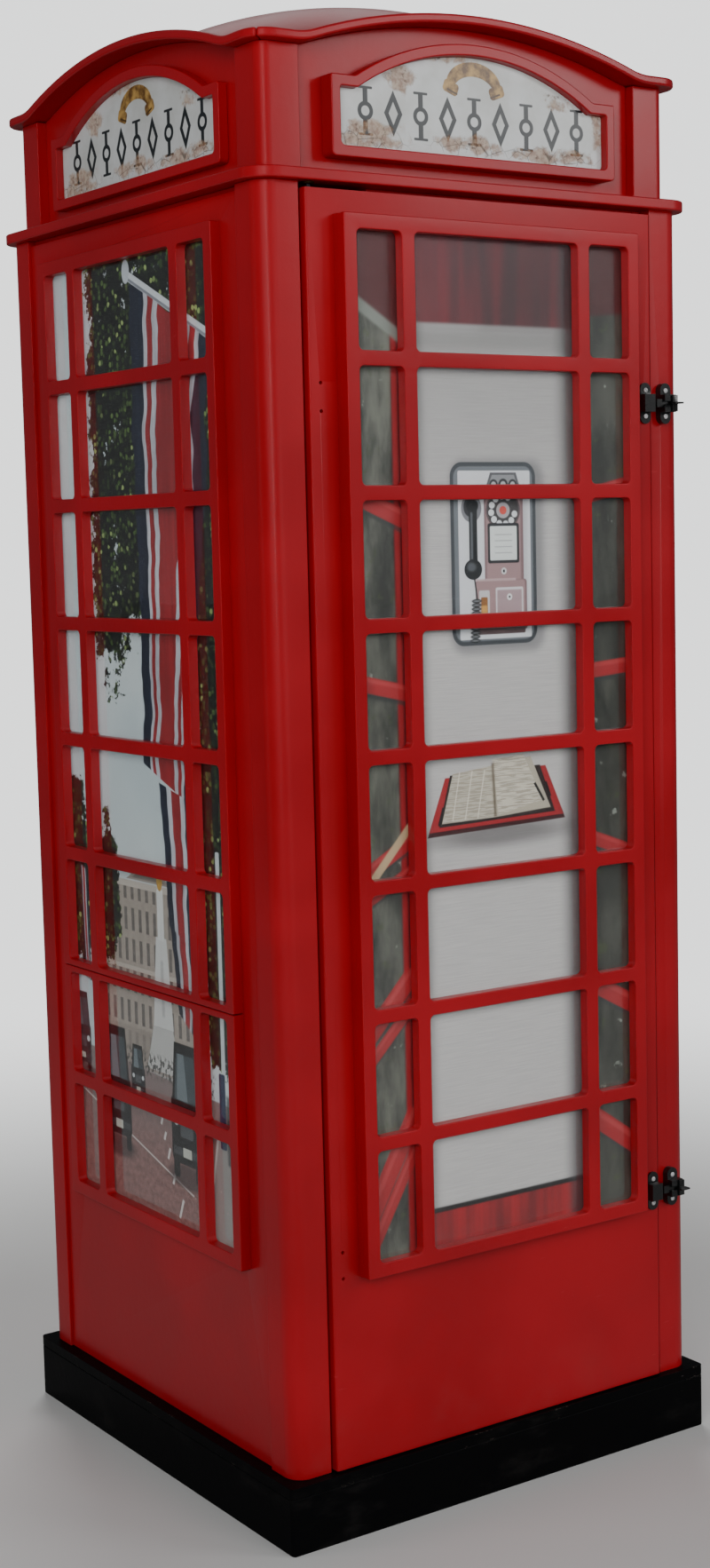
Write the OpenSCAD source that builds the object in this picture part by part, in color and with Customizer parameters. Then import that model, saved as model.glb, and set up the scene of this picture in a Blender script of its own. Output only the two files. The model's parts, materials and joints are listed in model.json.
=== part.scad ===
// Telephone booth: a square, red, free-standing cabinet with a hinged front door, glazed lattices
// on all four sides, arched pediments with sign plates and a shallow domed roof.
// Origin: centre of the underside. +Z is up and the door faces -Y.

/* [Body] */
// Width and depth of the plinth
base_w = 900; // [780:10:1080]
// Height of the plinth with its base board
plinth_h = 115; // [80:1:160]
// Corner radius of the plinth
plinth_r = 8; // [3:1:16]
// How far the plinth and the cornice board stand out from the posts
ledge = 18; // [10:1:24]
// Height of the corner posts
post_h = 2075; // [1720:5:2500]
// Width of a corner post
post_w = 72; // [60:1:90]
// Radius of a post's outer corner
post_r = 32; // [15:1:36]
// Thickness of the boards
board_t = 18; // [15:1:22]
// How far a wall panel lies behind the faces of its posts
panel_recess = 6; // [3:1:10]
// Shadow gap over each wall panel
head_gap = 8; // [4:1:12]
// Depth of that shadow gap
head_gap_depth = 8; // [4:1:10]

/* [Door] */
// Thickness of the door leaf
leaf_t = 30; // [26:1:40]
// How far the leaf stands out from the posts
leaf_proud = 8; // [6:1:12]
// Gap at each side of the leaf
side_gap = 6; // [6:0.5:9]
// Gap under the leaf
foot_gap = 3; // [2:0.5:6]
// Gap over the leaf
top_gap = 10; // [6:1:14]
// Radius of the leaf's upright edges
leaf_r = 4; // [3:0.5:5]
// Distance from the leaf's left edge to the pivot axis
pivot_inset = 15; // [15:0.5:18]
// Radius of the pivot pins
pin_r = 5; // [4:0.5:6]
// Radial running clearance of the pivot pins
pin_clear = 0.05; // [0.02:0.01:0.09]
// Length of each pivot pin inside the leaf
pin_seat = 40; // [30:1:60]
// Wall of the pivot bushes
bush_wall = 3; // [2:0.5:4]
// Thickness of the flange on a pivot bush
bush_flange = 2.7; // [1.5:0.1:2.8]
// Width and thickness of the door stop strips
stop = 18; // [12:1:22]
// Gap between the closed leaf and its stops
stop_gap = 2; // [1:0.5:4]

/* [Lattice] */
// Number of rows of panes
rows = 8; // [6:1:9]
// Rows in the upper part of a side lattice
upper_rows = 6; // [3:1:6]
// Width of the narrow outer panes
narrow_w = 86; // [70:1:100]
// Width of an upright bar
bar_w = 25; // [18:1:30]
// Height of a level bar
bar_h = 24; // [18:1:30]
// Width of the lattice's outer border
border = 24; // [20:1:32]
// Corner radius of each pane opening
pane_r = 9; // [4:1:14]
// Thickness of a lattice
lattice_t = 18; // [12:1:22]
// Thickness of the ring that lifts the door's lattice off the leaf
spacer_t = 12; // [9:1:16]
// Distance from the leaf's edge to the lattice
stile_w = 51.5; // [45:0.5:70]
// Height of the kick panel between the leaf's foot and the lattice
kick_h = 320; // [250:5:380]
// Height of the plain band over the lattice
head_h = 38; // [30:1:60]
// Joint between the two parts of a side lattice
split_gap = 1.5; // [1:0.5:3]
// How far the ring covers the lattice's border from its outer edge
ring_w = 17; // [14:1:19]
// Thickness of the clear panes
glass_t = 3; // [2:0.5:4]
// Play around each pane and printed board
seat_play = 0.5; // [0.3:0.1:1]

/* [Pediment] */
// How far the pediment stands back from the posts below
ped_inset = 18; // [12:1:24]
// Height of the pediment posts
ped_h = 192; // [184:1:235]
// Width of a pediment post
ped_post_w = 72; // [60:1:84]
// Radius of a pediment post's outer corner
ped_post_r = 20; // [10:1:26]
// How far the pediment panels lie behind their posts
ped_recess = 18; // [12:1:24]
// Overhang of the top moulding over the pediment posts
crown_out = 24; // [16:1:30]
// Thickness of the top moulding
crown_t = 15; // [12:1:20]
// Rise of the arch over the moulding's level ends
crown_rise = 58; // [45:1:70]
// Radius of the hollow where the arch meets a level end
crown_hollow_r = 120; // [60:5:160]
// Radius of the moulding's outer corners
crown_corner_r = 44; // [24:1:50]

/* [Sign] */
// Margin from the pediment posts to the sign frame
sign_side = 52; // [40:1:70]
// Margin under the sign frame
sign_foot = 26; // [16:1:34]
// Height of the sign opening up to its shoulders
sign_h = 90; // [80:1:100]
// Length of each level shoulder
sign_shoulder = 34; // [26:1:50]
// Rise of the sign's arch over its shoulders
sign_rise = 70; // [50:1:74]
// Width of the sign frame
sign_border = 18; // [14:1:20]
// Thickness of the front sign frame
front_sign_t = 30; // [22:1:34]
// Thickness of the other sign frames
side_sign_t = 18; // [17:1:24]
// Depth from a sign frame's face to its plate
sign_reveal = 14; // [10:1:15]

/* [Roof] */
// Radius of the dome
dome_r = 800; // [760:10:1100]
// Height of the dome's crown over the top of the arches
dome_rise = 82; // [60:1:110]
// Thickness of the dome shell
dome_t = 4; // [3:0.5:6]

/* [Latches] */
// Distance from the leaf's top to the upper latch
upper_latch_drop = 320; // [200:5:500]
// Distance from the leaf's foot to the lower latch
lower_latch_rise = 344; // [200:5:500]
// Height of a latch plate
plate_h = 70; // [64:1:80]
// Width of a latch plate
plate_w = 24; // [20:1:26]
// Thickness of a keeper's plate
plate_t = 4; // [3:0.5:6]
// Distance between a plate's two screws
screw_pitch = 44; // [42:1:50]
// Radius of a screw's shank
screw_r = 2; // [1.5:0.1:2.5]
// Length of a screw's shank
screw_len = 26; // [18:1:30]
// Radius of a screw's head
screw_head_r = 4.5; // [3.5:0.1:5.5]
// Height of a screw's head
screw_head_h = 3; // [2:0.1:4]
// Distance from the leaf's edge to the keeper
keeper_edge = 4; // [3:0.5:8]
// Distance from the door opening to the latch housing
housing_edge = 11; // [10:0.5:14]
// Width of the latch housing
housing_w = 26; // [24:0.5:28]
// Height of the latch housing and of the keeper's bridge
housing_h = 30; // [24:1:34]
// Height of the bolt
bolt_h = 14; // [10:0.5:16]
// Thickness of the bolt
bolt_t = 6; // [4:0.5:7]
// Play around the bolt
bolt_play = 0.3; // [0.2:0.05:0.5]
// Travel of the bolt
bolt_travel = 18; // [14:0.5:20]
// Thickness of the wall in front of and behind the bolt
housing_wall = 4; // [3:0.5:5]

/* [Hidden] */
$fn = 48;

RED = "#a5141a";
BLACK = "#17181a";

// Turn of each side about the upright axis: the side faces -Y before it is turned
RIGHT = 90;
BACK = 180;
LEFT = 270;

// Cuts pass their faces by this much
eps = 1;
// Sides of a rounded corner made of points, and of an arch
corner_steps = 6;
arch_steps = 32;

// Plan
base_half = base_w / 2;
body_half = base_half - ledge;
opening_half = body_half - post_w;
panel_face = body_half - panel_recess;

// Heights
body_z0 = plinth_h;
body_z1 = body_z0 + post_h;
ped_z0 = body_z1 + board_t;
ped_z1 = ped_z0 + ped_h;

// Door leaf
leaf_half = opening_half - side_gap;
leaf_z0 = body_z0 + foot_gap;
leaf_z1 = body_z1 - top_gap;
leaf_face = body_half + leaf_proud;
leaf_back = leaf_face - leaf_t;
pivot_x = -leaf_half + pivot_inset;
pivot_y = -leaf_face + leaf_t / 2;
bush_r = pin_r + pin_clear + bush_wall;
bush_depth = board_t - 4;
top_flange = 3;

// Lattice
lattice_half = leaf_half - stile_w;
lattice_z0 = leaf_z0 + kick_h;
lattice_z1 = leaf_z1 - head_h;
wide_w = 2 * (lattice_half - border - narrow_w - bar_w);
pane_h = (lattice_z1 - lattice_z0 - 2 * border - (rows - 1) * bar_h) / rows;
row_pitch = pane_h + bar_h;
split_z = lattice_z1 - border - upper_rows * row_pitch + bar_h / 2;
seat_half = lattice_half - ring_w;
seat_z0 = lattice_z0 + ring_w;
seat_z1 = lattice_z1 - ring_w;
pocket_depth = spacer_t;
print_t = spacer_t - glass_t;

// Pediment
ped_half = body_half - ped_inset;
ped_inner = ped_half - ped_post_w;
ped_face = ped_half - ped_recess;
ped_back = ped_face - board_t;
crown_half = ped_half + crown_out;
crown_r = (pow(ped_inner, 2) + pow(crown_rise, 2)) / (2 * crown_rise);
shoulder_z = ped_z1 + crown_t;
crown_cz = shoulder_z + crown_rise - crown_r;
// Where the arch leaves the hollow: the hollow's circle touches the arch and the level end
hollow_x = sqrt(pow(crown_r + crown_hollow_r, 2) - pow(shoulder_z + crown_hollow_r - crown_cz, 2));
hollow_turn = asin(hollow_x / (crown_r + crown_hollow_r));

// Sign
sign_half = ped_inner - sign_side - sign_border;
sign_z0 = ped_z0 + sign_foot + sign_border;
sign_chord = sign_half - sign_shoulder;
sign_r = (pow(sign_chord, 2) + pow(sign_rise, 2)) / (2 * sign_rise);
sign_shoulder_z = sign_z0 + sign_h;
sign_cz = sign_shoulder_z + sign_rise - sign_r;
sign_r_in = 8;
sign_play = 0.25;

// Roof
roof_half = ped_back - seat_play;
dome_cz = shoulder_z + crown_rise + dome_rise - dome_r;

// Latches
upper_latch_z = leaf_z1 - upper_latch_drop;
lower_latch_z = leaf_z0 + lower_latch_rise;
LATCH_HEIGHTS = [upper_latch_z, lower_latch_z];
plate_face = leaf_face + plate_t;
bolt_back = plate_face + housing_wall - 1;
bolt_front = bolt_back + bolt_t;
slot_back = bolt_back - bolt_play;
slot_front = bolt_front + bolt_play;
housing_front = slot_front + housing_wall;
keeper_x = leaf_half - keeper_edge - plate_w / 2;
housing_x0 = opening_half + housing_edge;
housing_x1 = housing_x0 + housing_w;
housing_x = (housing_x0 + housing_x1) / 2;
// The bolt's tip at rest, clear of the leaf's edge
bolt_x0 = leaf_half + 2;
bolt_x1 = housing_x1 + 7;
neck_w = 4;
neck_h = 6;
neck_x1 = housing_x1 - 3;
tab_gap = 0.6;
tab_t = 3;
fin_out = 13;
spare_x = -leaf_half + 21;
spare_r = 3;
spare_depth = 20;

// Points of an arc from angle a0 to a1
function arc(cx, cz, r, a0, a1, n) =
    [for (i = [0 : n]) let (a = a0 + (a1 - a0) * i / n) [cx + r * cos(a), cz + r * sin(a)]];

// Rectangle from [x0, z0] to [x1, z1] with corner radius r, as points
function round_box(x0, z0, x1, z1, r) = concat(
    arc(x0 + r, z0 + r, r, 180, 270, corner_steps),
    arc(x1 - r, z0 + r, r, 270, 360, corner_steps),
    arc(x1 - r, z1 - r, r, 0, 90, corner_steps),
    arc(x0 + r, z1 - r, r, 90, 180, corner_steps));

// Line of the crown moulding from right to left, drop lower than its upper face:
// a level end, a hollow, the arch, the other hollow and the other level end
function crown_line(drop) = concat(
    [[crown_half + eps, shoulder_z - drop]],
    arc(hollow_x, shoulder_z + crown_hollow_r, crown_hollow_r + drop,
        270, 270 - hollow_turn, corner_steps),
    [for (i = [1 : arch_steps - 1])
        let (a = 90 - hollow_turn + 2 * hollow_turn * i / arch_steps)
        [(crown_r - drop) * cos(a), crown_cz + (crown_r - drop) * sin(a)]],
    arc(-hollow_x, shoulder_z + crown_hollow_r, crown_hollow_r + drop,
        270 + hollow_turn, 270, corner_steps),
    [[-crown_half - eps, shoulder_z - drop]]);

function reversed(points) = [for (i = [len(points) - 1 : -1 : 0]) points[i]];

// Outline of the sign opening, grown by g: level foot and shoulders with an arch between them
function sign_outline(g, r) =
    let (x = sign_half + g,
        z0 = sign_z0 - g,
        z1 = sign_shoulder_z + g,
        ra = sign_r + g,
        a = acos((z1 - sign_cz) / ra))
    concat(
        arc(-x + r, z0 + r, r, 180, 270, corner_steps),
        arc(x - r, z0 + r, r, 270, 360, corner_steps),
        arc(x - r / 2, z1 - r / 2, r / 2, 0, 90, corner_steps),
        arc(0, sign_cz, ra, 90 - a, 90 + a, arch_steps),
        arc(-x + r / 2, z1 - r / 2, r / 2, 90, 180, corner_steps));

// A shape drawn in X and Z, standing between face (in front) and back, both measured from the axis
module slab(face, back) {
    translate([0, -back, 0]) rotate([90, 0, 0]) linear_extrude(face - back) children();
}

// Square with rounded corners, centred
module rounded_square(half, r) {
    square([2 * half, 2 * (half - r)], center = true);
    square([2 * (half - r), 2 * half], center = true);
    for (x = [-1, 1], y = [-1, 1]) translate([x * (half - r), y * (half - r)]) circle(r);
}

// Square post with one rounded outer corner, in the front left quarter
module post(half, w, r, z0, z1) {
    translate([0, 0, z0]) linear_extrude(z1 - z0) {
        translate([-half + r, -half]) square([w - r, w]);
        translate([-half, -half + r]) square([w, w - r]);
        translate([-half + r, -half + r]) circle(r);
    }
}

module plinth_frame() {
    color(BLACK) difference() {
        linear_extrude(plinth_h - board_t) rounded_square(base_half, plinth_r);
        translate([0, 0, -eps]) linear_extrude(plinth_h)
            square(2 * (base_half - board_t), center = true);
    }
}

module base_board() {
    color(BLACK) difference() {
        translate([0, 0, plinth_h - board_t]) linear_extrude(board_t)
            rounded_square(base_half, plinth_r);
        translate([pivot_x, pivot_y, 0]) cylinder(h = plinth_h + eps, r = bush_r);
    }
}

module body_post() {
    color(RED) post(body_half, post_w, post_r, body_z0, body_z1);
}

// The right front post also takes the screws of the latch housings
module front_right_post() {
    color(RED) difference() {
        rotate(90) post(body_half, post_w, post_r, body_z0, body_z1);
        for (z = LATCH_HEIGHTS, s = [-1, 1])
            translate([housing_x, -plate_face, z + s * screw_pitch / 2]) screw_hole(screw_len);
    }
}

// Wall board with a pocket for its printed board and pane and a shadow gap over it
module wall_panel() {
    color(RED) difference() {
        slab(panel_face, panel_face - board_t)
            translate([-opening_half, body_z0]) square([2 * opening_half, post_h]);
        slab(panel_face + eps, panel_face - head_gap_depth)
            translate([-body_half, body_z1 - head_gap]) square([2 * body_half, head_gap + eps]);
        slab(panel_face + eps, panel_face - pocket_depth)
            translate([-seat_half, seat_z0]) square([2 * seat_half, seat_z1 - seat_z0]);
    }
}

// Rows of three pane openings between rows first and last, counted from the top
module pane_openings(first, last) {
    edges = [
        [-lattice_half + border, -wide_w / 2 - bar_w],
        [-wide_w / 2, wide_w / 2],
        [wide_w / 2 + bar_w, lattice_half - border]];
    for (row = [first : last], e = edges)
        let (z1 = lattice_z1 - border - row * row_pitch)
        polygon(round_box(e[0], z1 - pane_h, e[1], z1, pane_r));
}

module lattice(face, z0, z1, first, last) {
    color(RED) slab(face + lattice_t, face) difference() {
        translate([-lattice_half, z0]) square([2 * lattice_half, z1 - z0]);
        pane_openings(first, last);
    }
}

module upper_lattice() {
    lattice(panel_face, split_z + split_gap / 2, lattice_z1, 0, upper_rows - 1);
}

module lower_lattice() {
    lattice(panel_face, lattice_z0, split_z - split_gap / 2, upper_rows, rows - 1);
}

// Sheet that fills the seat behind a lattice
module seat_sheet(face, t) {
    slab(face, face - t) translate([-seat_half + seat_play, seat_z0 + seat_play])
        square([2 * (seat_half - seat_play), seat_z1 - seat_z0 - 2 * seat_play]);
}

module wall_pane() {
    color("#b8c4c8") seat_sheet(panel_face, glass_t);
}

module wall_print() {
    color("#55604c") seat_sheet(panel_face - glass_t, print_t);
}

module door_leaf() {
    color(RED) difference() {
        translate([0, 0, leaf_z0]) linear_extrude(leaf_z1 - leaf_z0)
            polygon(round_box(-leaf_half, -leaf_face, leaf_half, -leaf_back, leaf_r));
        translate([pivot_x, pivot_y, leaf_z0 - eps]) cylinder(h = pin_seat + eps, r = pin_r + pin_clear);
        translate([pivot_x, pivot_y, leaf_z1 - pin_seat]) cylinder(h = pin_seat + eps, r = pin_r + pin_clear);
        for (z = LATCH_HEIGHTS, s = [-1, 1]) {
            translate([keeper_x, -plate_face, z + s * screw_pitch / 2]) screw_hole(screw_len);
            translate([spare_x, -leaf_face - eps, z + s * screw_pitch / 2])
                rotate([-90, 0, 0]) cylinder(h = spare_depth + eps, r = spare_r);
        }
    }
}

module door_spacer() {
    color(RED) slab(leaf_face + spacer_t, leaf_face) difference() {
        translate([-lattice_half, lattice_z0]) square([2 * lattice_half, lattice_z1 - lattice_z0]);
        translate([-seat_half, seat_z0]) square([2 * seat_half, seat_z1 - seat_z0]);
    }
}

module door_lattice() {
    lattice(leaf_face + spacer_t, lattice_z0, lattice_z1, 0, rows - 1);
}

module door_pane() {
    color("#b8c4c8") seat_sheet(leaf_face + spacer_t, glass_t);
}

module door_print() {
    color("#6e7071") seat_sheet(leaf_face + print_t, print_t);
}

// Two pins: one in the foot of the leaf, one in its top
module pivot_pins() {
    color("#8f9296") {
        translate([pivot_x, pivot_y, leaf_z0 - foot_gap - bush_depth])
            cylinder(h = bush_depth + foot_gap + pin_seat, r = pin_r);
        translate([pivot_x, pivot_y, leaf_z1 - pin_seat])
            cylinder(h = pin_seat + top_gap + bush_depth - 1, r = pin_r);
    }
}

// Flanged bush from z to z + h, its flange on the far side of the board's face
module bush(z, h, flange_z, flange_h) {
    translate([pivot_x, pivot_y, 0]) difference() {
        union() {
            translate([0, 0, z]) cylinder(h = h, r = bush_r);
            translate([0, 0, flange_z]) cylinder(h = flange_h, r = bush_r + 3);
        }
        translate([0, 0, min(z, flange_z) - eps])
            cylinder(h = h + flange_h + 2 * eps, r = pin_r + pin_clear);
    }
}

module pivot_bushes() {
    color("#b08d4c") {
        bush(plinth_h - board_t, board_t, plinth_h, bush_flange);
        bush(body_z1, bush_depth, body_z1 - top_flange, top_flange);
    }
}

module right_stop() {
    color(RED) translate([opening_half - stop, -leaf_back + stop_gap, body_z0])
        cube([stop, stop, post_h]);
}

// Strip behind the top of the leaf, from clear of the pivot to the right stop
module head_stop() {
    length = 2 * opening_half - stop - 2 * post_w;
    color(RED) translate([opening_half - stop - length, -leaf_back + stop_gap, body_z1 - 2 * stop])
        cube([length, stop, 2 * stop]);
}

module cornice_board() {
    color(RED) difference() {
        translate([0, 0, body_z1]) linear_extrude(board_t) rounded_square(base_half, post_r + ledge);
        translate([pivot_x, pivot_y, body_z1 - eps]) cylinder(h = bush_depth + eps, r = bush_r);
    }
}

module pediment_post() {
    color(RED) post(ped_half, ped_post_w, ped_post_r, ped_z0, ped_z1);
}

// Board between two pediment posts, its top under the arch of the moulding
module pediment_panel() {
    color(RED) slab(ped_face, ped_back) intersection() {
        translate([-ped_inner, ped_z0]) square([2 * ped_inner, ped_h + crown_rise + crown_t]);
        polygon(concat([[-crown_half, ped_z0], [crown_half, ped_z0]], crown_line(crown_t)));
    }
}

module sign_frame(t) {
    color(RED) slab(ped_face + t, ped_face) difference() {
        polygon(sign_outline(sign_border, sign_r_in));
        polygon(sign_outline(0, sign_r_in));
    }
}

module sign_plate(t) {
    color("#cfccc2") slab(ped_face + t - sign_reveal, ped_face)
        polygon(sign_outline(-sign_play, sign_r_in));
}

// One side of the crown moulding, mitred to its neighbours
module moulding() {
    color(RED) intersection() {
        slab(crown_half, ped_back) polygon(concat(crown_line(0), reversed(crown_line(crown_t))));
        linear_extrude(2 * shoulder_z) rounded_square(crown_half, crown_corner_r);
        linear_extrude(2 * shoulder_z) polygon([[0, 0], [-2 * crown_half, -2 * crown_half],
            [2 * crown_half, -2 * crown_half]]);
    }
}

// Board inside the pediment, notched for its four posts
module roof_board() {
    notch = ped_back - ped_inner + seat_play;
    color(RED) translate([0, 0, ped_z1 - board_t]) linear_extrude(board_t) difference() {
        square(2 * roof_half, center = true);
        for (x = [-1, 1], y = [-1, 1]) translate([x * roof_half, y * roof_half])
            square(2 * notch, center = true);
    }
}

module roof_dome() {
    color(RED) intersection() {
        translate([-roof_half, -roof_half, ped_z1]) cube([2 * roof_half, 2 * roof_half, dome_r]);
        translate([0, 0, dome_cz]) difference() {
            sphere(dome_r, $fn = 240);
            sphere(dome_r - dome_t, $fn = 240);
        }
    }
}

// Hole for a screw's shank, going in from y = 0 towards +Y
module screw_hole(depth) {
    translate([0, -eps, 0]) rotate([-90, 0, 0]) cylinder(h = depth + 1 + eps, r = screw_r + 0.05);
}

module screw() {
    rotate([-90, 0, 0]) cylinder(h = screw_len, r = screw_r);
    translate([0, -screw_head_h, 0]) rotate([-90, 0, 0]) difference() {
        cylinder(h = screw_head_h, r1 = screw_head_r - 1.2, r2 = screw_head_r);
        for (turn = [0, 90]) rotate(turn) translate([-2.2, -0.5, -eps]) cube([4.4, 1, 1.2 + eps]);
    }
}

// Plate with round ends, drawn in X and Z about the origin
module obround() {
    square([plate_w, plate_h - plate_w], center = true);
    for (s = [-1, 1]) translate([0, s * (plate_h - plate_w) / 2]) circle(plate_w / 2);
}

// Housing on the post: deep plate, raised box with a channel for the bolt and a slot for its neck
module latch_housings() {
    color(BLACK) for (z = LATCH_HEIGHTS) difference() {
        union() {
            translate([housing_x, 0, z]) slab(plate_face, body_half) obround();
            translate([0, 0, z]) slab(housing_front, plate_face)
                translate([housing_x0, -housing_h / 2]) square([housing_w, housing_h]);
        }
        translate([housing_x0 - eps, -slot_front, z - bolt_h / 2 - bolt_play])
            cube([housing_w + 2 * eps, slot_front - slot_back, bolt_h + 2 * bolt_play]);
        translate([housing_x0 - eps, -housing_front - eps, z - neck_h / 2 - bolt_play])
            cube([neck_x1 + 1 - housing_x0 + eps, housing_wall + 2 * eps, neck_h + 2 * bolt_play]);
        for (s = [-1, 1]) translate([housing_x, -plate_face, z + s * screw_pitch / 2])
            screw_hole(screw_len);
    }
}

// Sliding bolt with a neck, a thumb plate and a level fin
module bolt(z) {
    tab_back = housing_front + tab_gap;
    color(BLACK) translate([0, 0, z]) {
        slab(bolt_front, bolt_back) translate([bolt_x0, -bolt_h / 2]) square([bolt_x1 - bolt_x0, bolt_h]);
        slab(tab_back, bolt_front) translate([neck_x1 - neck_w, -neck_h / 2]) square([neck_w, neck_h]);
        slab(tab_back + tab_t, tab_back) translate([neck_x1 - 8, -14]) square([12, 28]);
        slab(tab_back + tab_t + fin_out, tab_back + tab_t)
            translate([neck_x1 - 14, -1.5]) square([20, 3]);
    }
}

// Keeper on the leaf: plate with a bridge that the bolt enters from the right
module latch_keepers() {
    color(BLACK) for (z = LATCH_HEIGHTS) difference() {
        union() {
            translate([keeper_x, 0, z]) slab(plate_face, leaf_face) obround();
            translate([keeper_x, 0, z]) slab(housing_front - 1, plate_face)
                translate([-plate_w / 2, -housing_h / 2]) square([plate_w, housing_h]);
        }
        translate([bolt_x0 - bolt_travel - 1, -slot_front, z - bolt_h / 2 - bolt_play])
            cube([bolt_travel, slot_front - slot_back, bolt_h + 2 * bolt_play]);
        for (s = [-1, 1]) translate([keeper_x, -plate_face, z + s * screw_pitch / 2])
            screw_hole(screw_len);
    }
}

module screws(x) {
    color("#c9ccd0") for (z = LATCH_HEIGHTS, s = [-1, 1])
        translate([x, -plate_face, z + s * screw_pitch / 2]) screw();
}

plinth_frame();
base_board();
body_post();  // front_left_post
front_right_post();
rotate(LEFT) body_post();  // back_left_post
rotate(BACK) body_post();  // back_right_post
rotate(LEFT) wall_panel();  // left_panel
rotate(RIGHT) wall_panel();  // right_panel
rotate(BACK) wall_panel();  // back_panel
rotate(LEFT) upper_lattice();  // left_upper_lattice
rotate(RIGHT) upper_lattice();  // right_upper_lattice
rotate(BACK) upper_lattice();  // back_upper_lattice
rotate(LEFT) lower_lattice();  // left_lower_lattice
rotate(RIGHT) lower_lattice();  // right_lower_lattice
rotate(BACK) lower_lattice();  // back_lower_lattice
rotate(LEFT) wall_pane();  // left_pane
rotate(RIGHT) wall_pane();  // right_pane
rotate(BACK) wall_pane();  // back_pane
rotate(LEFT) wall_print();  // left_print
rotate(RIGHT) wall_print();  // right_print
rotate(BACK) wall_print();  // back_print
door_leaf();
door_spacer();
door_lattice();
door_pane();
door_print();
pivot_pins();
pivot_bushes();
right_stop();
head_stop();
cornice_board();
pediment_post();  // front_left_pediment_post
rotate(RIGHT) pediment_post();  // front_right_pediment_post
rotate(BACK) pediment_post();  // back_right_pediment_post
rotate(LEFT) pediment_post();  // back_left_pediment_post
pediment_panel();  // front_pediment_panel
rotate(LEFT) pediment_panel();  // left_pediment_panel
rotate(RIGHT) pediment_panel();  // right_pediment_panel
rotate(BACK) pediment_panel();  // back_pediment_panel
sign_frame(front_sign_t);  // front_sign_frame
rotate(LEFT) sign_frame(side_sign_t);  // left_sign_frame
rotate(RIGHT) sign_frame(side_sign_t);  // right_sign_frame
rotate(BACK) sign_frame(side_sign_t);  // back_sign_frame
sign_plate(front_sign_t);  // front_sign_plate
rotate(LEFT) sign_plate(side_sign_t);  // left_sign_plate
rotate(RIGHT) sign_plate(side_sign_t);  // right_sign_plate
rotate(BACK) sign_plate(side_sign_t);  // back_sign_plate
moulding();  // front_moulding
rotate(LEFT) moulding();  // left_moulding
rotate(RIGHT) moulding();  // right_moulding
rotate(BACK) moulding();  // back_moulding
roof_board();
roof_dome();
latch_housings();
bolt(upper_latch_z);  // upper_bolt
bolt(lower_latch_z);  // lower_bolt
latch_keepers();
screws(housing_x);  // housing_screws
screws(keeper_x);  // keeper_screws
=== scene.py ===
"""Telephone booth: eased joinery, painted finishes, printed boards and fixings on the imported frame."""
import json
import math

import bmesh
import bpy
from bpy.props import FloatProperty, FloatVectorProperty, IntProperty, PointerProperty
from bpy.types import Operator, Panel, PropertyGroup
from mathutils import Matrix, Vector


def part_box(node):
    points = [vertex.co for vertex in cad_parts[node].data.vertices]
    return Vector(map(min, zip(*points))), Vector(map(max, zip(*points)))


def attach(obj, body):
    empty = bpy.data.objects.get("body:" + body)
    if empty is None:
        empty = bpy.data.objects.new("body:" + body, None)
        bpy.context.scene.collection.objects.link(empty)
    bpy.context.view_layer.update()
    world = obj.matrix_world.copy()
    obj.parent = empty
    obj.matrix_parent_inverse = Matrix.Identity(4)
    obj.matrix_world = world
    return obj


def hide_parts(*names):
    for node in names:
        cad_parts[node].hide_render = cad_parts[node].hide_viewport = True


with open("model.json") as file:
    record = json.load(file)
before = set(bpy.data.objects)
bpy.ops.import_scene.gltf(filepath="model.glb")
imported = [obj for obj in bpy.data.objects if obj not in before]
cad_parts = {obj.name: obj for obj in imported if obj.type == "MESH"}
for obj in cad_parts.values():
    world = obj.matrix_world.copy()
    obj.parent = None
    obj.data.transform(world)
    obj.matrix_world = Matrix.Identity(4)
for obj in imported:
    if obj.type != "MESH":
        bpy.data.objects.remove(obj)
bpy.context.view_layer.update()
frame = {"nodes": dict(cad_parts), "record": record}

bl_info = {
    "name": "Telephone Booth",
    "version": (1, 0, 0),
    "blender": (4, 5, 0),
    "location": "View3D > Sidebar > Booth",
    "description": "Finishes and detailed pieces of a telephone booth",
    "category": "Object",
}

BODY_OF = {node: body for body, nodes in frame["record"]["behaviour"]["bodies"].items() for node in nodes}

# Turn of each side about the upright axis: the front faces -Y
TURN = {"front": 0, "right": math.pi / 2, "back": math.pi, "left": 3 * math.pi / 2}
WALLS = ("left", "right", "back")
CORNERS = ("front_left", "front_right", "back_left", "back_right")

# Edges sharper than this many degrees stay creased; those sharper than the second are eased
CREASE_ANGLE = 35
EASE_ANGLE = 28

# Edge radii of the thin pieces, in metres
PRINT_EDGE = 0.0004
PANE_EDGE = 0.0003
SIGN_EDGE = 0.0005

FLOOR_RADIUS = 60.0
CAMERA_PLACE = (-2.279, -3.365, 1.634)
CAMERA_AIM = (0.009, -0.006, 1.191)
CAMERA_ROLL = -1.39

# Area lights: name, place, aim, width and height, share of the key's power, shows as a highlight
LIGHTS = (
    ("key", (-3.9, -3.9, 3.0), (0, 0, 1.2), (2.4, 3.0), 1.0, False),
    ("fill", (0.8, -6.0, 2.2), (0, 0, 1.0), (2.6, 2.6), 0.60, False),
    ("side", (-5.4, 1.4, 1.8), (0, 0, 1.0), (1.6, 2.6), 0.30, False),
    ("back", (2.2, 4.2, 5.2), (0, 0, 1.8), (2.6, 2.6), 0.95, False),
    ("strip", (-3.3, -4.9, 3.0), (-0.4, -0.4, 1.5), (0.28, 3.4), 0.16, True),
    ("high", (5.3, -6.4, 4.4), (0, 0, 2.0), (2.8, 2.0), 0.85, True),
    ("roof", (1.8, 3.8, 5.6), (0, 0, 2.4), (3.0, 2.0), 0.14, True),
)


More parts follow.
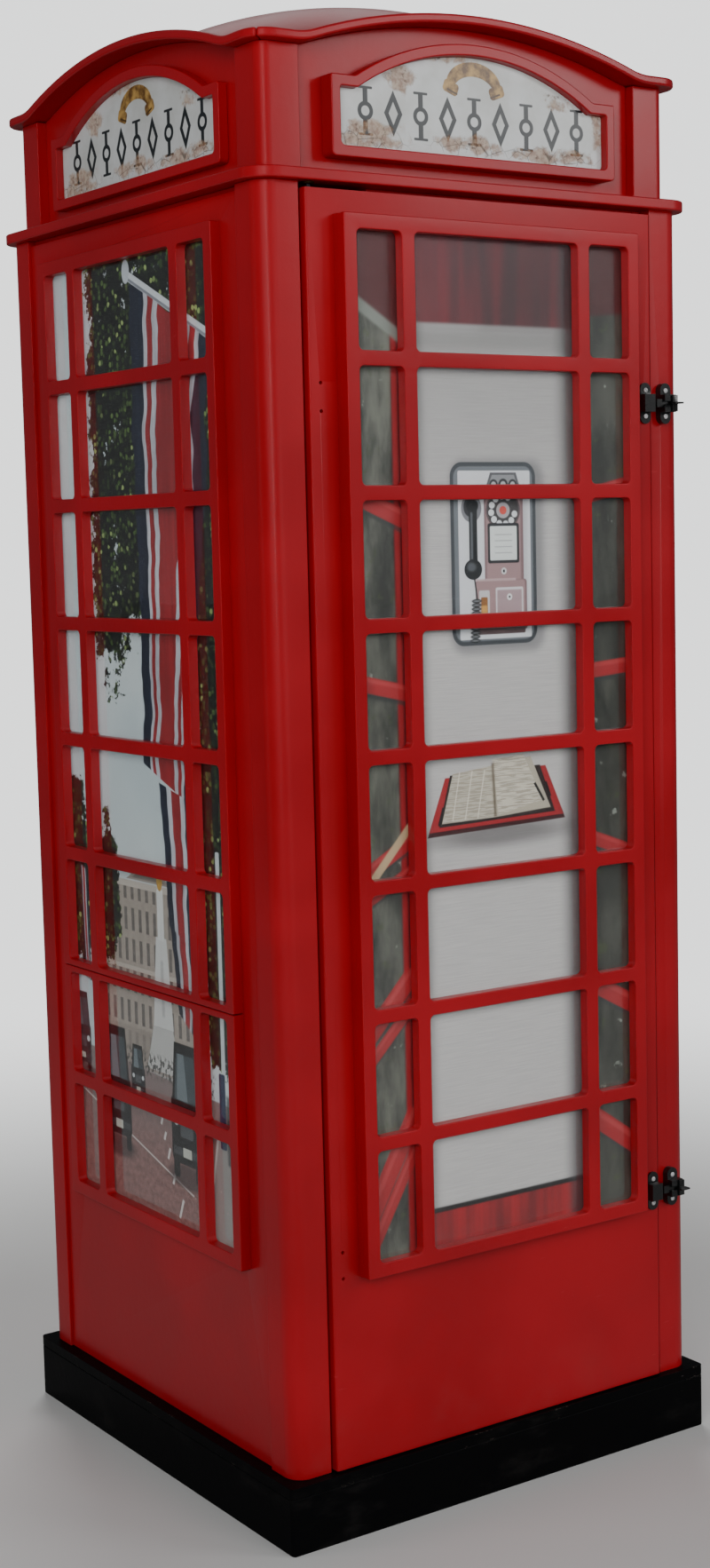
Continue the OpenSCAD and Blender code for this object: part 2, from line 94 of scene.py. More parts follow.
def tone(code):
    """Linear colour of a screen colour written as six hex digits."""
    parts = [int(code[i:i + 2], 16) / 255 for i in (0, 2, 4)]
    return tuple(c / 12.92 if c <= 0.04045 else ((c + 0.055) / 1.055) ** 2.4 for c in parts)


# --------------------------------------------------------------------------- settings


def colour_setting(name, description, default, highest=1):
    return FloatVectorProperty(name=name, description=description, subtype="COLOR", size=3,
                               min=0, max=highest, default=default)


def length_setting(name, description, low, high, default, precision=4):
    return FloatProperty(name=name, description=description, subtype="DISTANCE", unit="LENGTH",
                         min=low, max=high, precision=precision, default=default)


def count_setting(name, description, low, high, default):
    return IntProperty(name=name, description=description, min=low, max=high, default=default)


class BoothPaint(PropertyGroup):
    """Paint on the boards"""

    red: colour_setting("Red", "Main colour of the boards", tone("ad131f"))
    deep_red: colour_setting("Deep Red", "Colour where the paint lies thicker", tone("9c0f1a"))
    black: colour_setting("Black", "Colour of the plinth", tone("0b0b0c"))
    stipple: length_setting("Stipple", "Height of the marks left by the roller", 0, 0.001, 0.00010, 6)
    wear: FloatProperty(
        name="Wear", description="Share of the edges where paint is chipped", subtype="FACTOR",
        min=0, max=1, default=0.35)


class BoothEdges(PropertyGroup):
    """Eased edges of the pieces"""

    board: length_setting("Boards", "Radius of the boards' eased edges", 0.0002, 0.004, 0.0018)
    moulding: length_setting("Mouldings", "Radius of the mouldings' round noses", 0.0005, 0.007, 0.0058)
    plinth: length_setting("Plinth", "Radius of the plinth's eased edges", 0.0005, 0.006, 0.003)
    fitting: length_setting("Fittings", "Radius of the latches' edges", 0.0001, 0.002, 0.0008)
    steps: count_setting("Steps", "Facets across an eased edge", 1, 6, 3)


class BoothLattices(PropertyGroup):
    """Rows of panes and the bars between them"""

    rows: count_setting("Rows", "Rows of panes from head to kick panel", 6, 9, 8)
    upper_rows: count_setting("Upper Rows", "Rows in the upper part of a side lattice", 3, 8, 6)
    border: length_setting("Border", "Width of the outer border", 0.016, 0.040, 0.024)
    bar_width: length_setting("Bar Width", "Width of an upright bar", 0.012, 0.040, 0.025)
    bar_height: length_setting("Bar Height", "Width of a level bar", 0.012, 0.040, 0.024)
    narrow_pane: length_setting("Narrow Pane", "Width of the outer panes", 0.050, 0.120, 0.086)
    split_gap: length_setting("Split", "Joint between the parts of a side lattice", 0.0005, 0.004, 0.0015)
    corner: length_setting("Pane Corner", "Corner radius of a pane opening", 0.004, 0.016, 0.009)


class BoothPictures(PropertyGroup):
    """Printed boards and their clear panes"""

    blur: length_setting("Blur", "Softness of the printed shapes", 0.0001, 0.005, 0.0009)
    pane_tint: colour_setting("Pane Tint", "Tint of the clear panes", (0.90, 0.92, 0.92))
    pane_gap: length_setting("Pane Gap", "Air between a pane and its board", 0.0001, 0.001, 0.0002, 5)


class BoothSigns(PropertyGroup):
    """Sign plates"""

    enamel: colour_setting("Enamel", "Ground colour of the plates", tone("d3d6d6"))
    ink: colour_setting("Ink", "Colour of the ornaments", tone("23282b"))
    ornaments: count_setting("Ornaments", "Number of ornaments in the row", 3, 13, 9)


class BoothFixings(PropertyGroup):
    """Screws of the latches"""

    head_radius: length_setting("Head Radius", "Radius of a screw's head", 0.003, 0.006, 0.0045)
    head_height: length_setting("Head Height", "Height of a screw's domed head", 0.001, 0.004, 0.0029)
    slot_width: length_setting("Slot Width", "Width of the cross in a head", 0.0003, 0.002, 0.0009)


class BoothStage(PropertyGroup):
    """Floor, lights and camera"""

    floor: colour_setting("Floor", "Colour of the floor", (0.72, 0.72, 0.71))
    backdrop: colour_setting("Backdrop", "Light behind the booth", (1.70, 1.72, 1.72), highest=3)
    clear_floor: length_setting("Clear Floor", "Radius of the floor without backdrop", 1, 10, 1.0, 2)
    surround: FloatProperty(
        name="Surround", description="Strength of the light from all round", min=0, max=3, default=0.10)
    key: FloatProperty(
        name="Key", description="Power of the main soft box", subtype="POWER", unit="POWER",
        min=0, max=3000, default=139)
    lens: FloatProperty(
        name="Lens", description="Focal length of the camera", subtype="DISTANCE_CAMERA",
        unit="CAMERA", min=20, max=120, default=51)


class BoothSettings(PropertyGroup):
    """All the booth's settings"""

    paint: PointerProperty(type=BoothPaint)
    edges: PointerProperty(type=BoothEdges)
    lattices: PointerProperty(type=BoothLattices)
    pictures: PointerProperty(type=BoothPictures)
    signs: PointerProperty(type=BoothSigns)
    fixings: PointerProperty(type=BoothFixings)
    stage: PointerProperty(type=BoothStage)


def settings():
    return bpy.context.scene.booth


# --------------------------------------------------------------------------- node helpers


class Nodes:
    """Adds nodes to a tree and joins them in short calls."""

    def __init__(self, tree):
        self.tree = tree

    def feed(self, socket, value):
        """Joins a socket to another, or sets its value; a colour may be given as six hex digits."""
        if isinstance(value, bpy.types.NodeSocket):
            self.tree.links.new(value, socket)
        elif socket.type == "RGBA":
            socket.default_value = (*(tone(value) if isinstance(value, str) else value), 1)
        else:
            socket.default_value = value

    def fill(self, node, inputs):
        for key, value in inputs.items():
            self.feed(node.inputs[key], value)
        return node

    def add(self, kind, inputs=None, **options):
        node = self.tree.nodes.new(kind)
        for name, value in options.items():
            setattr(node, name, value)
        return self.fill(node, inputs or {})

    def geo(self, kind, inputs=None, **options):
        return self.add("GeometryNode" + kind, inputs, **options).outputs[0]

    def math(self, operation, *values):
        return self.add("ShaderNodeMath", dict(enumerate(values)), operation=operation).outputs[0]

    def times(self, first, second):
        return self.math("MULTIPLY", first, second)

    def line(self, value, slope, start):
        """Value times slope, plus start."""
        return self.math("MULTIPLY_ADD", value, slope, start)

    def vector(self, operation, *values):
        node = self.add("ShaderNodeVectorMath", dict(enumerate(values)), operation=operation)
        return node.outputs["Value" if operation in ("LENGTH", "DOT_PRODUCT") else "Vector"]

    def point(self, x=0.0, y=0.0, z=0.0):
        return self.add("ShaderNodeCombineXYZ", {0: x, 1: y, 2: z}).outputs[0]

    def parts(self, vector):
        return self.add("ShaderNodeSeparateXYZ", {0: vector}).outputs

    def ramp(self, value, low, high, start=0.0, end=1.0):
        """Smooth step of value from low to high."""
        inputs = {"Value": value, "From Min": low, "From Max": high, "To Min": start, "To Max": end}
        return self.add("ShaderNodeMapRange", inputs, interpolation_type="SMOOTHSTEP").outputs[0]

    def mix(self, share, first, second, blend="MIX"):
        inputs = {0: share, 6: first, 7: second}
        return self.add("ShaderNodeMix", inputs, data_type="RGBA", blend_type=blend).outputs[2]

    def noise(self, vector, scale, detail=2.0, roughness=0.5):
        inputs = {"Vector": vector, "Scale": scale, "Detail": detail, "Roughness": roughness}
        return self.add("ShaderNodeTexNoise", inputs).outputs[0]

    def clouds(self, vector, scale, detail, roughness, low, high, start=0.0, end=1.0):
        """Smooth step of noise from low to high."""
        return self.ramp(self.noise(vector, scale, detail, roughness), low, high, start, end)

    def cells(self, vector, scale, feature="F1"):
        return self.add("ShaderNodeTexVoronoi", {"Vector": vector, "Scale": scale}, feature=feature).outputs

    def scaled(self, vector, factors):
        return self.vector("MULTIPLY", vector, factors)

    def coordinates(self):
        return self.add("ShaderNodeTexCoord").outputs["Object"]

    def ray(self, kind):
        return self.add("ShaderNodeLightPath").outputs[f"Is {kind} Ray"]

    def group(self, tree, **inputs):
        """Group node, its inputs given by their labels with underscores for spaces."""
        node = self.add("ShaderNodeGroup", node_tree=tree)
        return self.fill(node, {key.replace("_", " "): value for key, value in inputs.items()}).outputs


def declare(tree, inputs, outputs):
    """Gives tree its sockets and returns its helper and its given inputs."""
    for in_out, sockets in (("INPUT", inputs), ("OUTPUT", outputs)):
        for label, kind in sockets.items():
            tree.interface.new_socket(name=label, in_out=in_out, socket_type="NodeSocket" + kind)
    nodes = Nodes(tree)
    return nodes, nodes.add("NodeGroupInput").outputs


def effect(name, vectors, floats, outputs):
    """Turns a function that builds nodes into one that gives its shader group, made at the first call."""
    inputs = {**dict.fromkeys(vectors, "Vector"), **dict.fromkeys(floats, "Float")}

    def wrap(build):
        def get():
            tree = bpy.data.node_groups.get(name)
            if not tree:
                tree = bpy.data.node_groups.new(name, "ShaderNodeTree")
                nodes, given = declare(tree, inputs, outputs)
                result = nodes.add("NodeGroupOutput")
                nodes.fill(result, build(nodes, given))
            return tree
        return get
    return wrap


# --------------------------------------------------------------------------- shared effects


@effect("Soft Box", ("Place", "Centre", "Half Size"), ("Corner", "Blur", "Turn"), {"Mask": "Float"})
def soft_box(n, given):
    """Mask of a level or turned box with round corners and soft edges."""
    corner, blur = given["Corner"], given["Blur"]
    shifted = n.vector("SUBTRACT", given["Place"], given["Centre"])
    turned = n.add("ShaderNodeVectorRotate", {"Vector": shifted, "Angle": given["Turn"]},
                   rotation_type="Z_AXIS").outputs[0]
    reach = n.vector("SUBTRACT", given["Half Size"], n.point(corner, corner))
    away = n.vector("SUBTRACT", n.vector("ABSOLUTE", turned), reach)
    outside = n.vector("LENGTH", n.scaled(n.vector("MAXIMUM", away, (0, 0, 0)), (1, 1, 0)))
    parts = n.parts(away)
    inside = n.math("MINIMUM", n.math("MAXIMUM", parts[0], parts[1]), 0.0)
    distance = n.math("SUBTRACT", n.math("ADD", outside, inside), corner)
    return {"Mask": n.ramp(distance, n.times(blur, -1.0), blur, 1.0, 0.0)}


@effect("Soft Disc", ("Place", "Centre", "Radii"), ("Softness",), {"Mask": "Float"})
def soft_disc(n, given):
    """Mask of a disc or an ellipse with a soft edge."""
    shifted = n.vector("SUBTRACT", given["Place"], given["Centre"])
    away = n.vector("LENGTH", n.scaled(n.vector("DIVIDE", shifted, given["Radii"]), (1, 1, 0)))
    low = n.math("SUBTRACT", 1.0, given["Softness"])
    return {"Mask": n.ramp(away, low, n.math("ADD", 1.0, given["Softness"]), 1.0, 0.0)}


@effect("Soft Patch", ("Place", "Side 1", "Side 2", "Side 3", "Side 4"), ("Blur",), {"Mask": "Float"})
def soft_patch(n, given):
    """Mask of a patch with up to four straight sides, each given as the line's normal and offset."""
    sides = [n.vector("DOT_PRODUCT", given["Place"], given[f"Side {i}"]) for i in range(1, 5)]
    first = n.math("MAXIMUM", sides[0], sides[1])
    distance = n.math("MAXIMUM", first, n.math("MAXIMUM", sides[2], sides[3]))
    return {"Mask": n.ramp(distance, n.times(given["Blur"], -1.0), given["Blur"], 1.0, 0.0)}


@effect("Roller Paint", ("Place",), (), {"Height": "Float", "Cloud": "Float"})
def roller_paint(n, given):
    """Stipple and slow waves that a roller leaves in paint, with fine dust nibs."""
    place = given["Place"]
    stipple = n.noise(place, 420, 2.0, 0.55)
    waves = n.noise(place, 70, 1.0, 0.4)
    cells = n.cells(place, 55.0)
    speck = n.ramp(cells["Distance"], 0.02, 0.075, 1.0, 0.0)
    nibs = n.times(speck, n.ramp(n.parts(cells["Color"])[0], 0.93, 0.94))
    height = n.line(nibs, 2.5, n.line(waves, 1.6, stipple))
    return {"Height": height, "Cloud": n.noise(place, 2.6, 3.0, 0.55)}


@effect("Edge Wear", ("Place",), ("Reach", "Amount"), {"Chips": "Float", "Scratches": "Float"})
def edge_wear(n, given):
    """Masks of chips along the edges and of thin scratches on the faces."""
    place, amount = given["Place"], given["Amount"]
    rounded = n.add("ShaderNodeBevel", {"Radius": given["Reach"]}, samples=3).outputs[0]
    flat = n.add("ShaderNodeNewGeometry").outputs["Normal"]
    edge = n.ramp(n.vector("DOT_PRODUCT", rounded, flat), 0.985, 0.80)
    patches = n.clouds(place, 19, 3.0, 0.6, 0.60, 0.64)
    grit = n.clouds(place, 260, 2.0, 0.6, 0.50, 0.58)
    share = n.times(n.times(edge, patches), n.times(grit, amount))
    lines = n.clouds(n.scaled(place, (26.0, 26.0, 210.0)), 1.0, 2.0, 0.5, 0.735, 0.75)
    cluster = n.clouds(place, 3.1, 1.0, 0.5, 0.60, 0.66)
    return {"Chips": n.math("MINIMUM", share, 1.0), "Scratches": n.times(n.times(lines, cluster), amount)}


# --------------------------------------------------------------------------- materials


def new_material(name):
    """Empty material called name with its nodes helper and its Principled node."""
    material = bpy.data.materials.new(name)
    material.use_nodes = True
    material.node_tree.nodes.clear()
    nodes = Nodes(material.node_tree)
    shader = nodes.add("ShaderNodeBsdfPrincipled")
    nodes.add("ShaderNodeOutputMaterial", {"Surface": shader.outputs[0]})
    return material, nodes, shader


def mixed_surface(nodes, share, shader, other):
    """Puts other over the shader at the material's output, by share."""
    chosen = nodes.add("ShaderNodeMixShader", {0: share, 1: shader.outputs[0], 2: other.outputs[0]})
    nodes.feed(nodes.tree.get_output_node("ALL").inputs["Surface"], chosen.outputs[0])


def bumped(nodes, shader, height, distance):
    bump = nodes.add("ShaderNodeBump", {"Height": height, "Distance": distance, "Strength": 1.0})
    nodes.feed(shader.inputs["Normal"], bump.outputs[0])


def made_once(make):
    """Keeps the first result of a material's function, for every piece that takes it."""
    kept = {}

    def get(*choice):
        if choice not in kept:
            kept[choice] = make(*choice)
        return kept[choice]
    return get


@made_once
def red_paint():
    paint = settings().paint
    material, n, shader = new_material("red_paint")
    place = n.coordinates()
    roller = n.group(roller_paint(), Place=place)
    wear = n.group(edge_wear(), Place=place, Reach=0.0022, Amount=paint.wear)
    cloud = n.ramp(roller["Cloud"], 0.35, 0.68)
    colour = n.mix(cloud, paint.deep_red, paint.red)
    dust = n.times(n.ramp(n.parts(place)[2], 0.34, 0.115), n.clouds(place, 9, 4.0, 0.6, 0.45, 0.75))
    colour = n.mix(n.times(dust, 0.05), colour, "8a6a60")
    colour = n.mix(wear["Scratches"], colour, "c4464a")
    rough = n.ramp(roller["Cloud"], 0.25, 0.75, 0.30, 0.40)
    n.fill(shader, {
        "Base Color": n.mix(wear["Chips"], colour, "5a2a22"),
        "Roughness": n.line(wear["Chips"], 0.3, rough),
        "Coat Weight": 0.12, "Coat Roughness": 0.14, "Specular IOR Level": 0.30})
    bumped(n, shader, n.line(wear["Chips"], -2.0, roller["Height"]), paint.stipple)
    return material


@made_once
def black_paint():
    paint = settings().paint
    material, n, shader = new_material("black_paint")
    place = n.coordinates()
    roller = n.group(roller_paint(), Place=place)
    wear = n.group(edge_wear(), Place=place, Reach=0.004, Amount=paint.wear * 1.6)
    smudge = n.clouds(n.scaled(place, (1, 1, 2.4)), 7, 5.0, 0.62, 0.52, 0.80)
    colour = n.mix(n.times(smudge, 0.09), paint.black, "5f5b57")
    colour = n.mix(wear["Scratches"], colour, "6a6662")
    n.fill(shader, {
        "Base Color": n.mix(wear["Chips"], colour, "7c7168"),
        "Roughness": n.ramp(smudge, 0.0, 1.0, 0.36, 0.62), "Specular IOR Level": 0.035})
    bumped(n, shader, roller["Height"], paint.stipple * 1.2)
    return material


@made_once
def clear_acrylic():
    tint = settings().pictures.pane_tint
    material, n, shader = new_material("clear_acrylic")
    place = n.coordinates()
    n.fill(shader, {
        "Base Color": tint, "Transmission Weight": 1.0, "IOR": 1.49,
        "Roughness": n.clouds(place, 6, 4.0, 0.6, 0.45, 0.80, 0.015, 0.075)})
    bumped(n, shader, n.noise(place, 5, 1.0, 0.4), 0.0006)
    mixed_surface(n, n.ray("Shadow"), shader, n.add("ShaderNodeBsdfTransparent", {"Color": tint}))
    return material


def metal(name, colour, low, high, line_scale, metallic=1.0):
    """Worked metal with fine marks that change its roughness; a low metallic lets a pale base colour stand
    in as a painted glint.
    """
    material, n, shader = new_material(name)
    place = n.coordinates()
    marks = n.noise(n.scaled(place, line_scale), 1.0, 3.0, 0.6)
    spots = n.clouds(place, 160, 3.0, 0.6, 0.55, 0.75)
    n.fill(shader, {
        "Base Color": n.mix(n.times(spots, 0.35), colour, "6b6763"),
        "Roughness": n.ramp(marks, 0.3, 0.7, low, high), "Metallic": metallic})
    bumped(n, shader, marks, 0.00002)
    return material


@made_once
def screw_steel():
    # pale base colour at low metallic: painted glint, so the heads show bright in diffuse light
    return metal("screw_steel", "e6e7e8", 0.22, 0.38, (900, 900, 900), metallic=0.35)


@made_once
def pin_steel():
    # dark tone: painted shade, so the pins read black in the gap over the door
    return metal("pin_steel", "4c4e52", 0.38, 0.55, (900, 900, 60))


@made_once
def bush_brass():
    # dark tone: painted shade, so the bush flanges read black in the gap over the door
    return metal("bush_brass", "5c4a2a", 0.45, 0.62, (60, 60, 1400))


@made_once
def black_plastic():
    material, n, shader = new_material("black_plastic")
    place = n.coordinates()
    grain = n.noise(place, 900, 3.0, 0.6)
    wear = n.group(edge_wear(), Place=place, Reach=0.0008, Amount=0.5)
    dusty = n.clouds(place, 60, 3.0, 0.6, 0.5, 0.8)
    colour = n.mix(n.times(dusty, 0.12), "0f1011", "4a4643")
    n.fill(shader, {
        "Base Color": n.mix(wear["Chips"], colour, "3d3f41"),
        "Roughness": n.ramp(grain, 0.3, 0.7, 0.24, 0.40), "Coat Weight": 0.3, "Coat Roughness": 0.12})
    bumped(n, shader, grain, 0.00003)
    return material


# --------------------------------------------------------------------------- flat pictures


# Millimetres in a metre: shapes are given in millimetres, places and noise in metres
MM = 1000


def side_of(a, b):
    """Normal and offset of the line from a to b in millimetres, positive on its right."""
    along = (Vector(b) - Vector(a)).normalized()
    across = Vector((along.y, -along.x))
    return across.x, across.y, -across.dot(Vector(a)) / MM


class Picture:
    """Soft shapes, measured in millimetres, laid one over another on a board that faces one side."""

    def __init__(self, nodes, place, ground, blur):
        self.n = nodes
        self.place = place
        self.colour = ground
        self.blur = blur

    def lay(self, mask, colour, strength=1.0):
        if strength != 1.0:
            mask = self.n.times(mask, strength)
        self.colour = self.n.mix(mask, self.colour, colour)

    def box_mask(self, x, z, w, h, corner=0.0, blur=None, turn=0.0):
        return self.n.group(soft_box(), Place=self.place, Centre=(x / MM, z / MM, 0), Turn=turn,
                            Half_Size=(w / 2 / MM, h / 2 / MM, 0), Corner=corner / MM,
                            Blur=(blur or self.blur) / MM)[0]

    def disc_mask(self, x, z, rx, rz, blur=None):
        return self.n.group(soft_disc(), Place=self.place, Centre=(x / MM, z / MM, 0),
                            Radii=(rx / MM, rz / MM, 1), Softness=(blur or self.blur) / min(rx, rz))[0]

    def patch_mask(self, points, blur=None):
        """Patch whose points run anticlockwise; a three-sided one repeats its last side."""
        sides = [side_of(a, b) for a, b in zip(points, points[1:] + points[:1])]
        sides += [sides[-1]] * (4 - len(sides))
        inputs = {f"Side_{i + 1}": side for i, side in enumerate(sides)}
        return self.n.group(soft_patch(), Place=self.place, Blur=(blur or self.blur) / MM, **inputs)[0]

    def box(self, x, z, w, h, colour, corner=0.0, blur=None, turn=0.0, strength=1.0):
        self.lay(self.box_mask(x, z, w, h, corner, blur, turn), colour, strength)

    def disc(self, x, z, rx, rz, colour, blur=None, strength=1.0):
        self.lay(self.disc_mask(x, z, rx, rz, blur), colour, strength)

    def patch(self, points, colour, blur=None, strength=1.0):
        self.lay(self.patch_mask(points, blur), colour, strength)

    def bar(self, start, end, width, colour, blur=None, strength=1.0):
        """Straight bar from start to end."""
        a, b = Vector(start), Vector(end)
        middle, along = (a + b) / 2, b - a
        turn = -math.atan2(along.y, along.x)
        self.box(middle.x, middle.y, along.length, width, colour, blur=blur, turn=turn, strength=strength)


def board_place(nodes, side):
    """Object coordinates as (across, up, 1), across running from left to right for who faces that side."""
    turned = nodes.add("ShaderNodeMapping", {
        "Vector": nodes.coordinates(), "Rotation": (0, 0, -TURN[side])})
    parts = nodes.parts(turned.outputs[0])
    return nodes.point(parts[0], parts[2], 1.0)


def printed_finish(nodes, shader, place, colour):
    """Satin print: colour, faint banding of the roughness and a fine surface."""
    nodes.feed(shader.inputs["Base Color"], colour)
    bands = nodes.noise(nodes.scaled(place, (40, 900, 1)), 1.0, 2.0, 0.5)
    nodes.feed(shader.inputs["Roughness"], nodes.ramp(bands, 0.3, 0.7, 0.42, 0.55))
    bumped(nodes, shader, bands, 0.00003)


def paint_wall_phone(p):
    """Wall telephone on its backplate: handset, dial, blank card, coin box and curly cord."""
    dark, steel, rose = "3c3f44", "8c8b8e", "a07f80"
    deep_rose, pale, ink = "7c5f62", "d8d6da", "16171a"
    p.box(4, 1604, 196, 318, "6f6d6f", 30, 12, strength=0.7)
    p.box(-4, 1609, 178, 300, dark, 24)
    p.box(-4, 1609, 164, 286, "6d7075", 18, 1.4)
    p.box(-2, 1607, 150, 276, pale, 3)
    p.box(52, 1600, 30, 240, "b3aeb2", 4, 6, strength=0.6)
    # head with its three coin holes
    p.patch([(-24, 1706), (56, 1706), (44, 1742), (-10, 1742)], "57565a")
    p.patch([(-18, 1711), (50, 1711), (40, 1738), (-6, 1738)], steel)
    for x, radius in ((-3, 9), (17, 10), (37, 9)):
        p.disc(x, 1722, radius, radius, "2b2b2e")
        p.disc(x, 1722, radius * 0.55, radius * 0.55, "b9b7ba")
    # case
    p.box(17, 1612, 82, 200, deep_rose, 6)
    p.box(16, 1612, 72, 196, rose, 6, 3)
    p.box(10, 1524, 108, 84, deep_rose, 5)
    p.box(9, 1526, 102, 78, rose, 5, 2)
    p.box(-2, 1566, 86, 4, "c3a5a5", 1, strength=0.8)
    p.box(10, 1481, 100, 10, "5a4547", 3)
    # dial: ring, ten plain finger holes and hub
    p.disc(16, 1680, 36, 33, "5c4a4d")
    p.disc(16, 1680, 33, 30, "3a3638")
    for step in range(10):
        angle = math.radians(65 + step * 31)
        p.disc(16 + 25 * math.cos(angle), 1680 + 23 * math.sin(angle), 5.8, 5.4, "dedde0")
    p.disc(16, 1680, 14, 13, "a9a2a4")
    p.disc(16, 1680, 7.5, 7, "c9473d")
    # blank card in its frame, with plain rules
    p.box(16, 1626, 66, 66, "232326", 4)
    p.box(16, 1626, 56, 56, "dcdcda", 2)
    for row in range(4):
        p.box(16, 1640 - row * 10, 36, 1.6, "8f8f92", strength=0.7)
    p.disc(16, 1580, 5.5, 5.5, "d5d2d4")
    p.disc(16, 1580, 2.2, 2.8, ink)
    # coin return and coin box door
    p.box(-26, 1527, 22, 44, "c9c3c4", 3)
    p.box(-26, 1524, 14, 28, "8d5a2c", 2)
    p.box(-26, 1518, 12, 12, "d09a50", 2, 2)
    p.box(27, 1529, 58, 48, "d7cfd2", 3)
    p.box(27, 1528, 52, 42, "a98e92", 2, 1.6)
    p.disc(27, 1537, 5.5, 5.5, "e3e0e1")
    p.disc(27, 1537, 2, 2, ink)
    # hook, handset and curly cord
    p.disc(-50, 1684, 21, 23, "77757a")
    p.disc(-52, 1686, 14, 16, "2c2c30")
    p.box(-47, 1636, 17, 104, ink, 8)
    p.box(-50, 1640, 4, 86, "6a6c72", 2, 2, strength=0.7)
    p.disc(-48, 1688, 12.5, 11, ink)
    p.disc(-48, 1584, 18.5, 17, ink)
    p.disc(-51, 1588, 9, 7, "54565b", 3, strength=0.8)
    p.bar((-46, 1570), (-40, 1530), 3, ink)
    for turn in range(11):
        p.disc(-42 - 0.4 * turn, 1532 - 6.5 * turn, 10.5, 3.6, ink)
        p.disc(-42 - 0.4 * turn, 1532 - 6.5 * turn, 7, 1.4, "85868a", strength=0.7)


def paint_directory(p):
    """Open directory on a red stand, its pages ruled but blank."""
    n = p.n
    p.disc(0, 1142, 150, 20, "4d4748", 12, strength=0.7)
    p.patch([(-152, 1148), (140, 1157), (98, 1250), (-114, 1244)], "3a1014")
    p.patch([(-149, 1156), (137, 1164), (98, 1250), (-114, 1244)], "9c1b22")
    p.patch([(-128, 1163), (118, 1170), (86, 1252), (-104, 1248)], "2a1d1c")
    left = [(-122, 1169), (-8, 1171), (-14, 1258), (-98, 1250)]
    right = [(-8, 1171), (108, 1178), (66, 1268), (-14, 1258)]
    fan = [(-4, 1174), (92, 1192), (50, 1272), (-16, 1268)]
    p.patch(left, "c2b8a8")
    p.patch(right, "b3a897")
    p.patch(fan, "d0c6b6")
    rules = n.clouds(n.scaled(p.place, (30, 420, 1)), 1.0, 1.0, 0.5, 0.47, 0.55)
    pages = n.math("MAXIMUM", p.patch_mask(left), p.patch_mask(fan))
    p.lay(n.times(n.times(rules, pages), 0.55), "857868")
    for x in (-88, -62, -36):
        p.bar((x - 12, 1172), (x + 4, 1252), 2.2, "efe6d8", strength=0.6)
    p.bar((-11, 1172), (-15, 1262), 5, "6d5f50", 3)
    p.bar((74, 1222), (94, 1190), 5, "1c1818")
    p.bar((98, 1222), (108, 1196), 5, "1c1818")
    p.bar((-128, 1166), (-118, 1196), 6, "1c1818")


def paint_side_windows(p, sign):
    """Narrow columns: glass walls seen along the booth, with red bars that run towards the back."""
    n = p.n
    red, dark_red, shade = "9b1a20", "5d1418", "2d302f"
    clouds = n.noise(n.scaled(p.place, (16, 5, 1)), 1.0, 4.0, 0.62)
    glass = n.mix(n.ramp(clouds, 0.35, 0.7), "2b2b27", "6c6b61")
    if sign > 0:
        glass = n.mix(0.62, glass, "24241f")
    mottle = n.noise(p.place, 30, 3.0, 0.6)
    glass = n.mix(n.times(n.ramp(mottle, 0.40, 0.30), 0.5), glass, "46502c")
    glass = n.mix(n.times(n.ramp(mottle, 0.66, 0.74), 0.5), glass, "b5b9ae")
    column = p.box_mask(sign * 235, 1290, 100, 1700, 0, 4)
    p.lay(column, glass)
    p.box(sign * 196, 1290, 22, 1700, dark_red, 0, 3)
    p.box(sign * 200, 1290, 10, 1700, red, 0, 3, strength=0.8)
    if sign < 0:
        p.patch([(-290, 2140), (-290, 2026), (-185, 1960), (-185, 2140)], "4a1216", 4)
        p.patch([(-290, 2032), (-290, 2010), (-185, 1944), (-185, 1966)], "7b7d76", 4)
        bars = ((1712, 1668, 30), (1412, 1388, 26), (1092, 1148, 24), (1046, 1100, 18),
                (820, 930, 32), (776, 880, 20), (520, 700, 34), (462, 640, 22))
    else:
        p.patch([(185, 2140), (185, 2000), (290, 2010), (290, 2140)], "431517", 4)
        bars = ((1700, 1722, 26), (1404, 1412, 26), (1122, 1084, 24), (868, 812, 32), (632, 560, 34))
    for outer, inner, width in bars:
        ends = ((-290, outer), (-186, inner)) if sign < 0 else ((186, outer), (290, inner))
        under, over = ([(x, z + width * lift) for x, z in ends] for lift in (-0.6, 0.3))
        p.bar(*under, width * 0.4, shade, 3, strength=0.8)
        p.bar(*ends, width, red, 2)
        p.bar(*over, width * 0.25, "c04a4a", 2, strength=0.4)
    if sign < 0:
        p.bar((-290, 1060), (-186, 1172), 14, "b59a78", 2)


def paint_ceiling(p):
    """Blurred red boards over the back wall, with the pale rule under them."""
    n, place = p.n, p.place
    boards = n.noise(n.scaled(place, (17, 1.4, 1)), 1.0, 2.0, 0.5)
    ceiling = n.mix(n.ramp(boards, 0.38, 0.72), "3f2025", "74202a")
    p.box(0, 2020, 400, 100, "9b9695", 0, 2)
    p.box(0, 2078, 400, 196, ceiling, 0, 4)
    p.box(90, 2100, 200, 240, "35191c", 0, 50, strength=0.45)
    p.box(0, 1955, 400, 30, "7b7776", 0, 12, strength=0.5)


def paint_low_boards(p):
    """Red boards at the foot of the back wall and the dark joint over them."""
    n, place = p.n, p.place
    low = n.noise(n.scaled(place, (26, 2, 1)), 1.0, 2.0, 0.5)
    p.box(0, 480, 400, 82, n.mix(n.ramp(low, 0.35, 0.7), "6f1218", "a8161e"), 0, 3)
    p.box(0, 521, 400, 9, "191515", 0, 2.2)


def paint_side_shade(p):
    """Soft shade along both sides of the back wall."""
    for x, width, strength in ((-176, 40, 0.75), (172, 60, 0.85)):
        p.box(x, 1290, width, 1700, "3a3638", 0, 22, strength=strength)


# Parts of the door's picture: its outer columns, then each band's name, lowest and highest height in
# metres, and painter
COLUMN_EDGE = 0.182
WINDOWS = {"left_window": -1, "right_window": 1}
PICTURE_BANDS = (
    ("low_boards", 0.0, 0.56, paint_low_boards),
    ("directory", 1.08, 1.32, paint_directory),
    ("telephone", 1.42, 1.80, paint_wall_phone),
    ("ceiling", 1.90, 9.0, paint_ceiling),
)


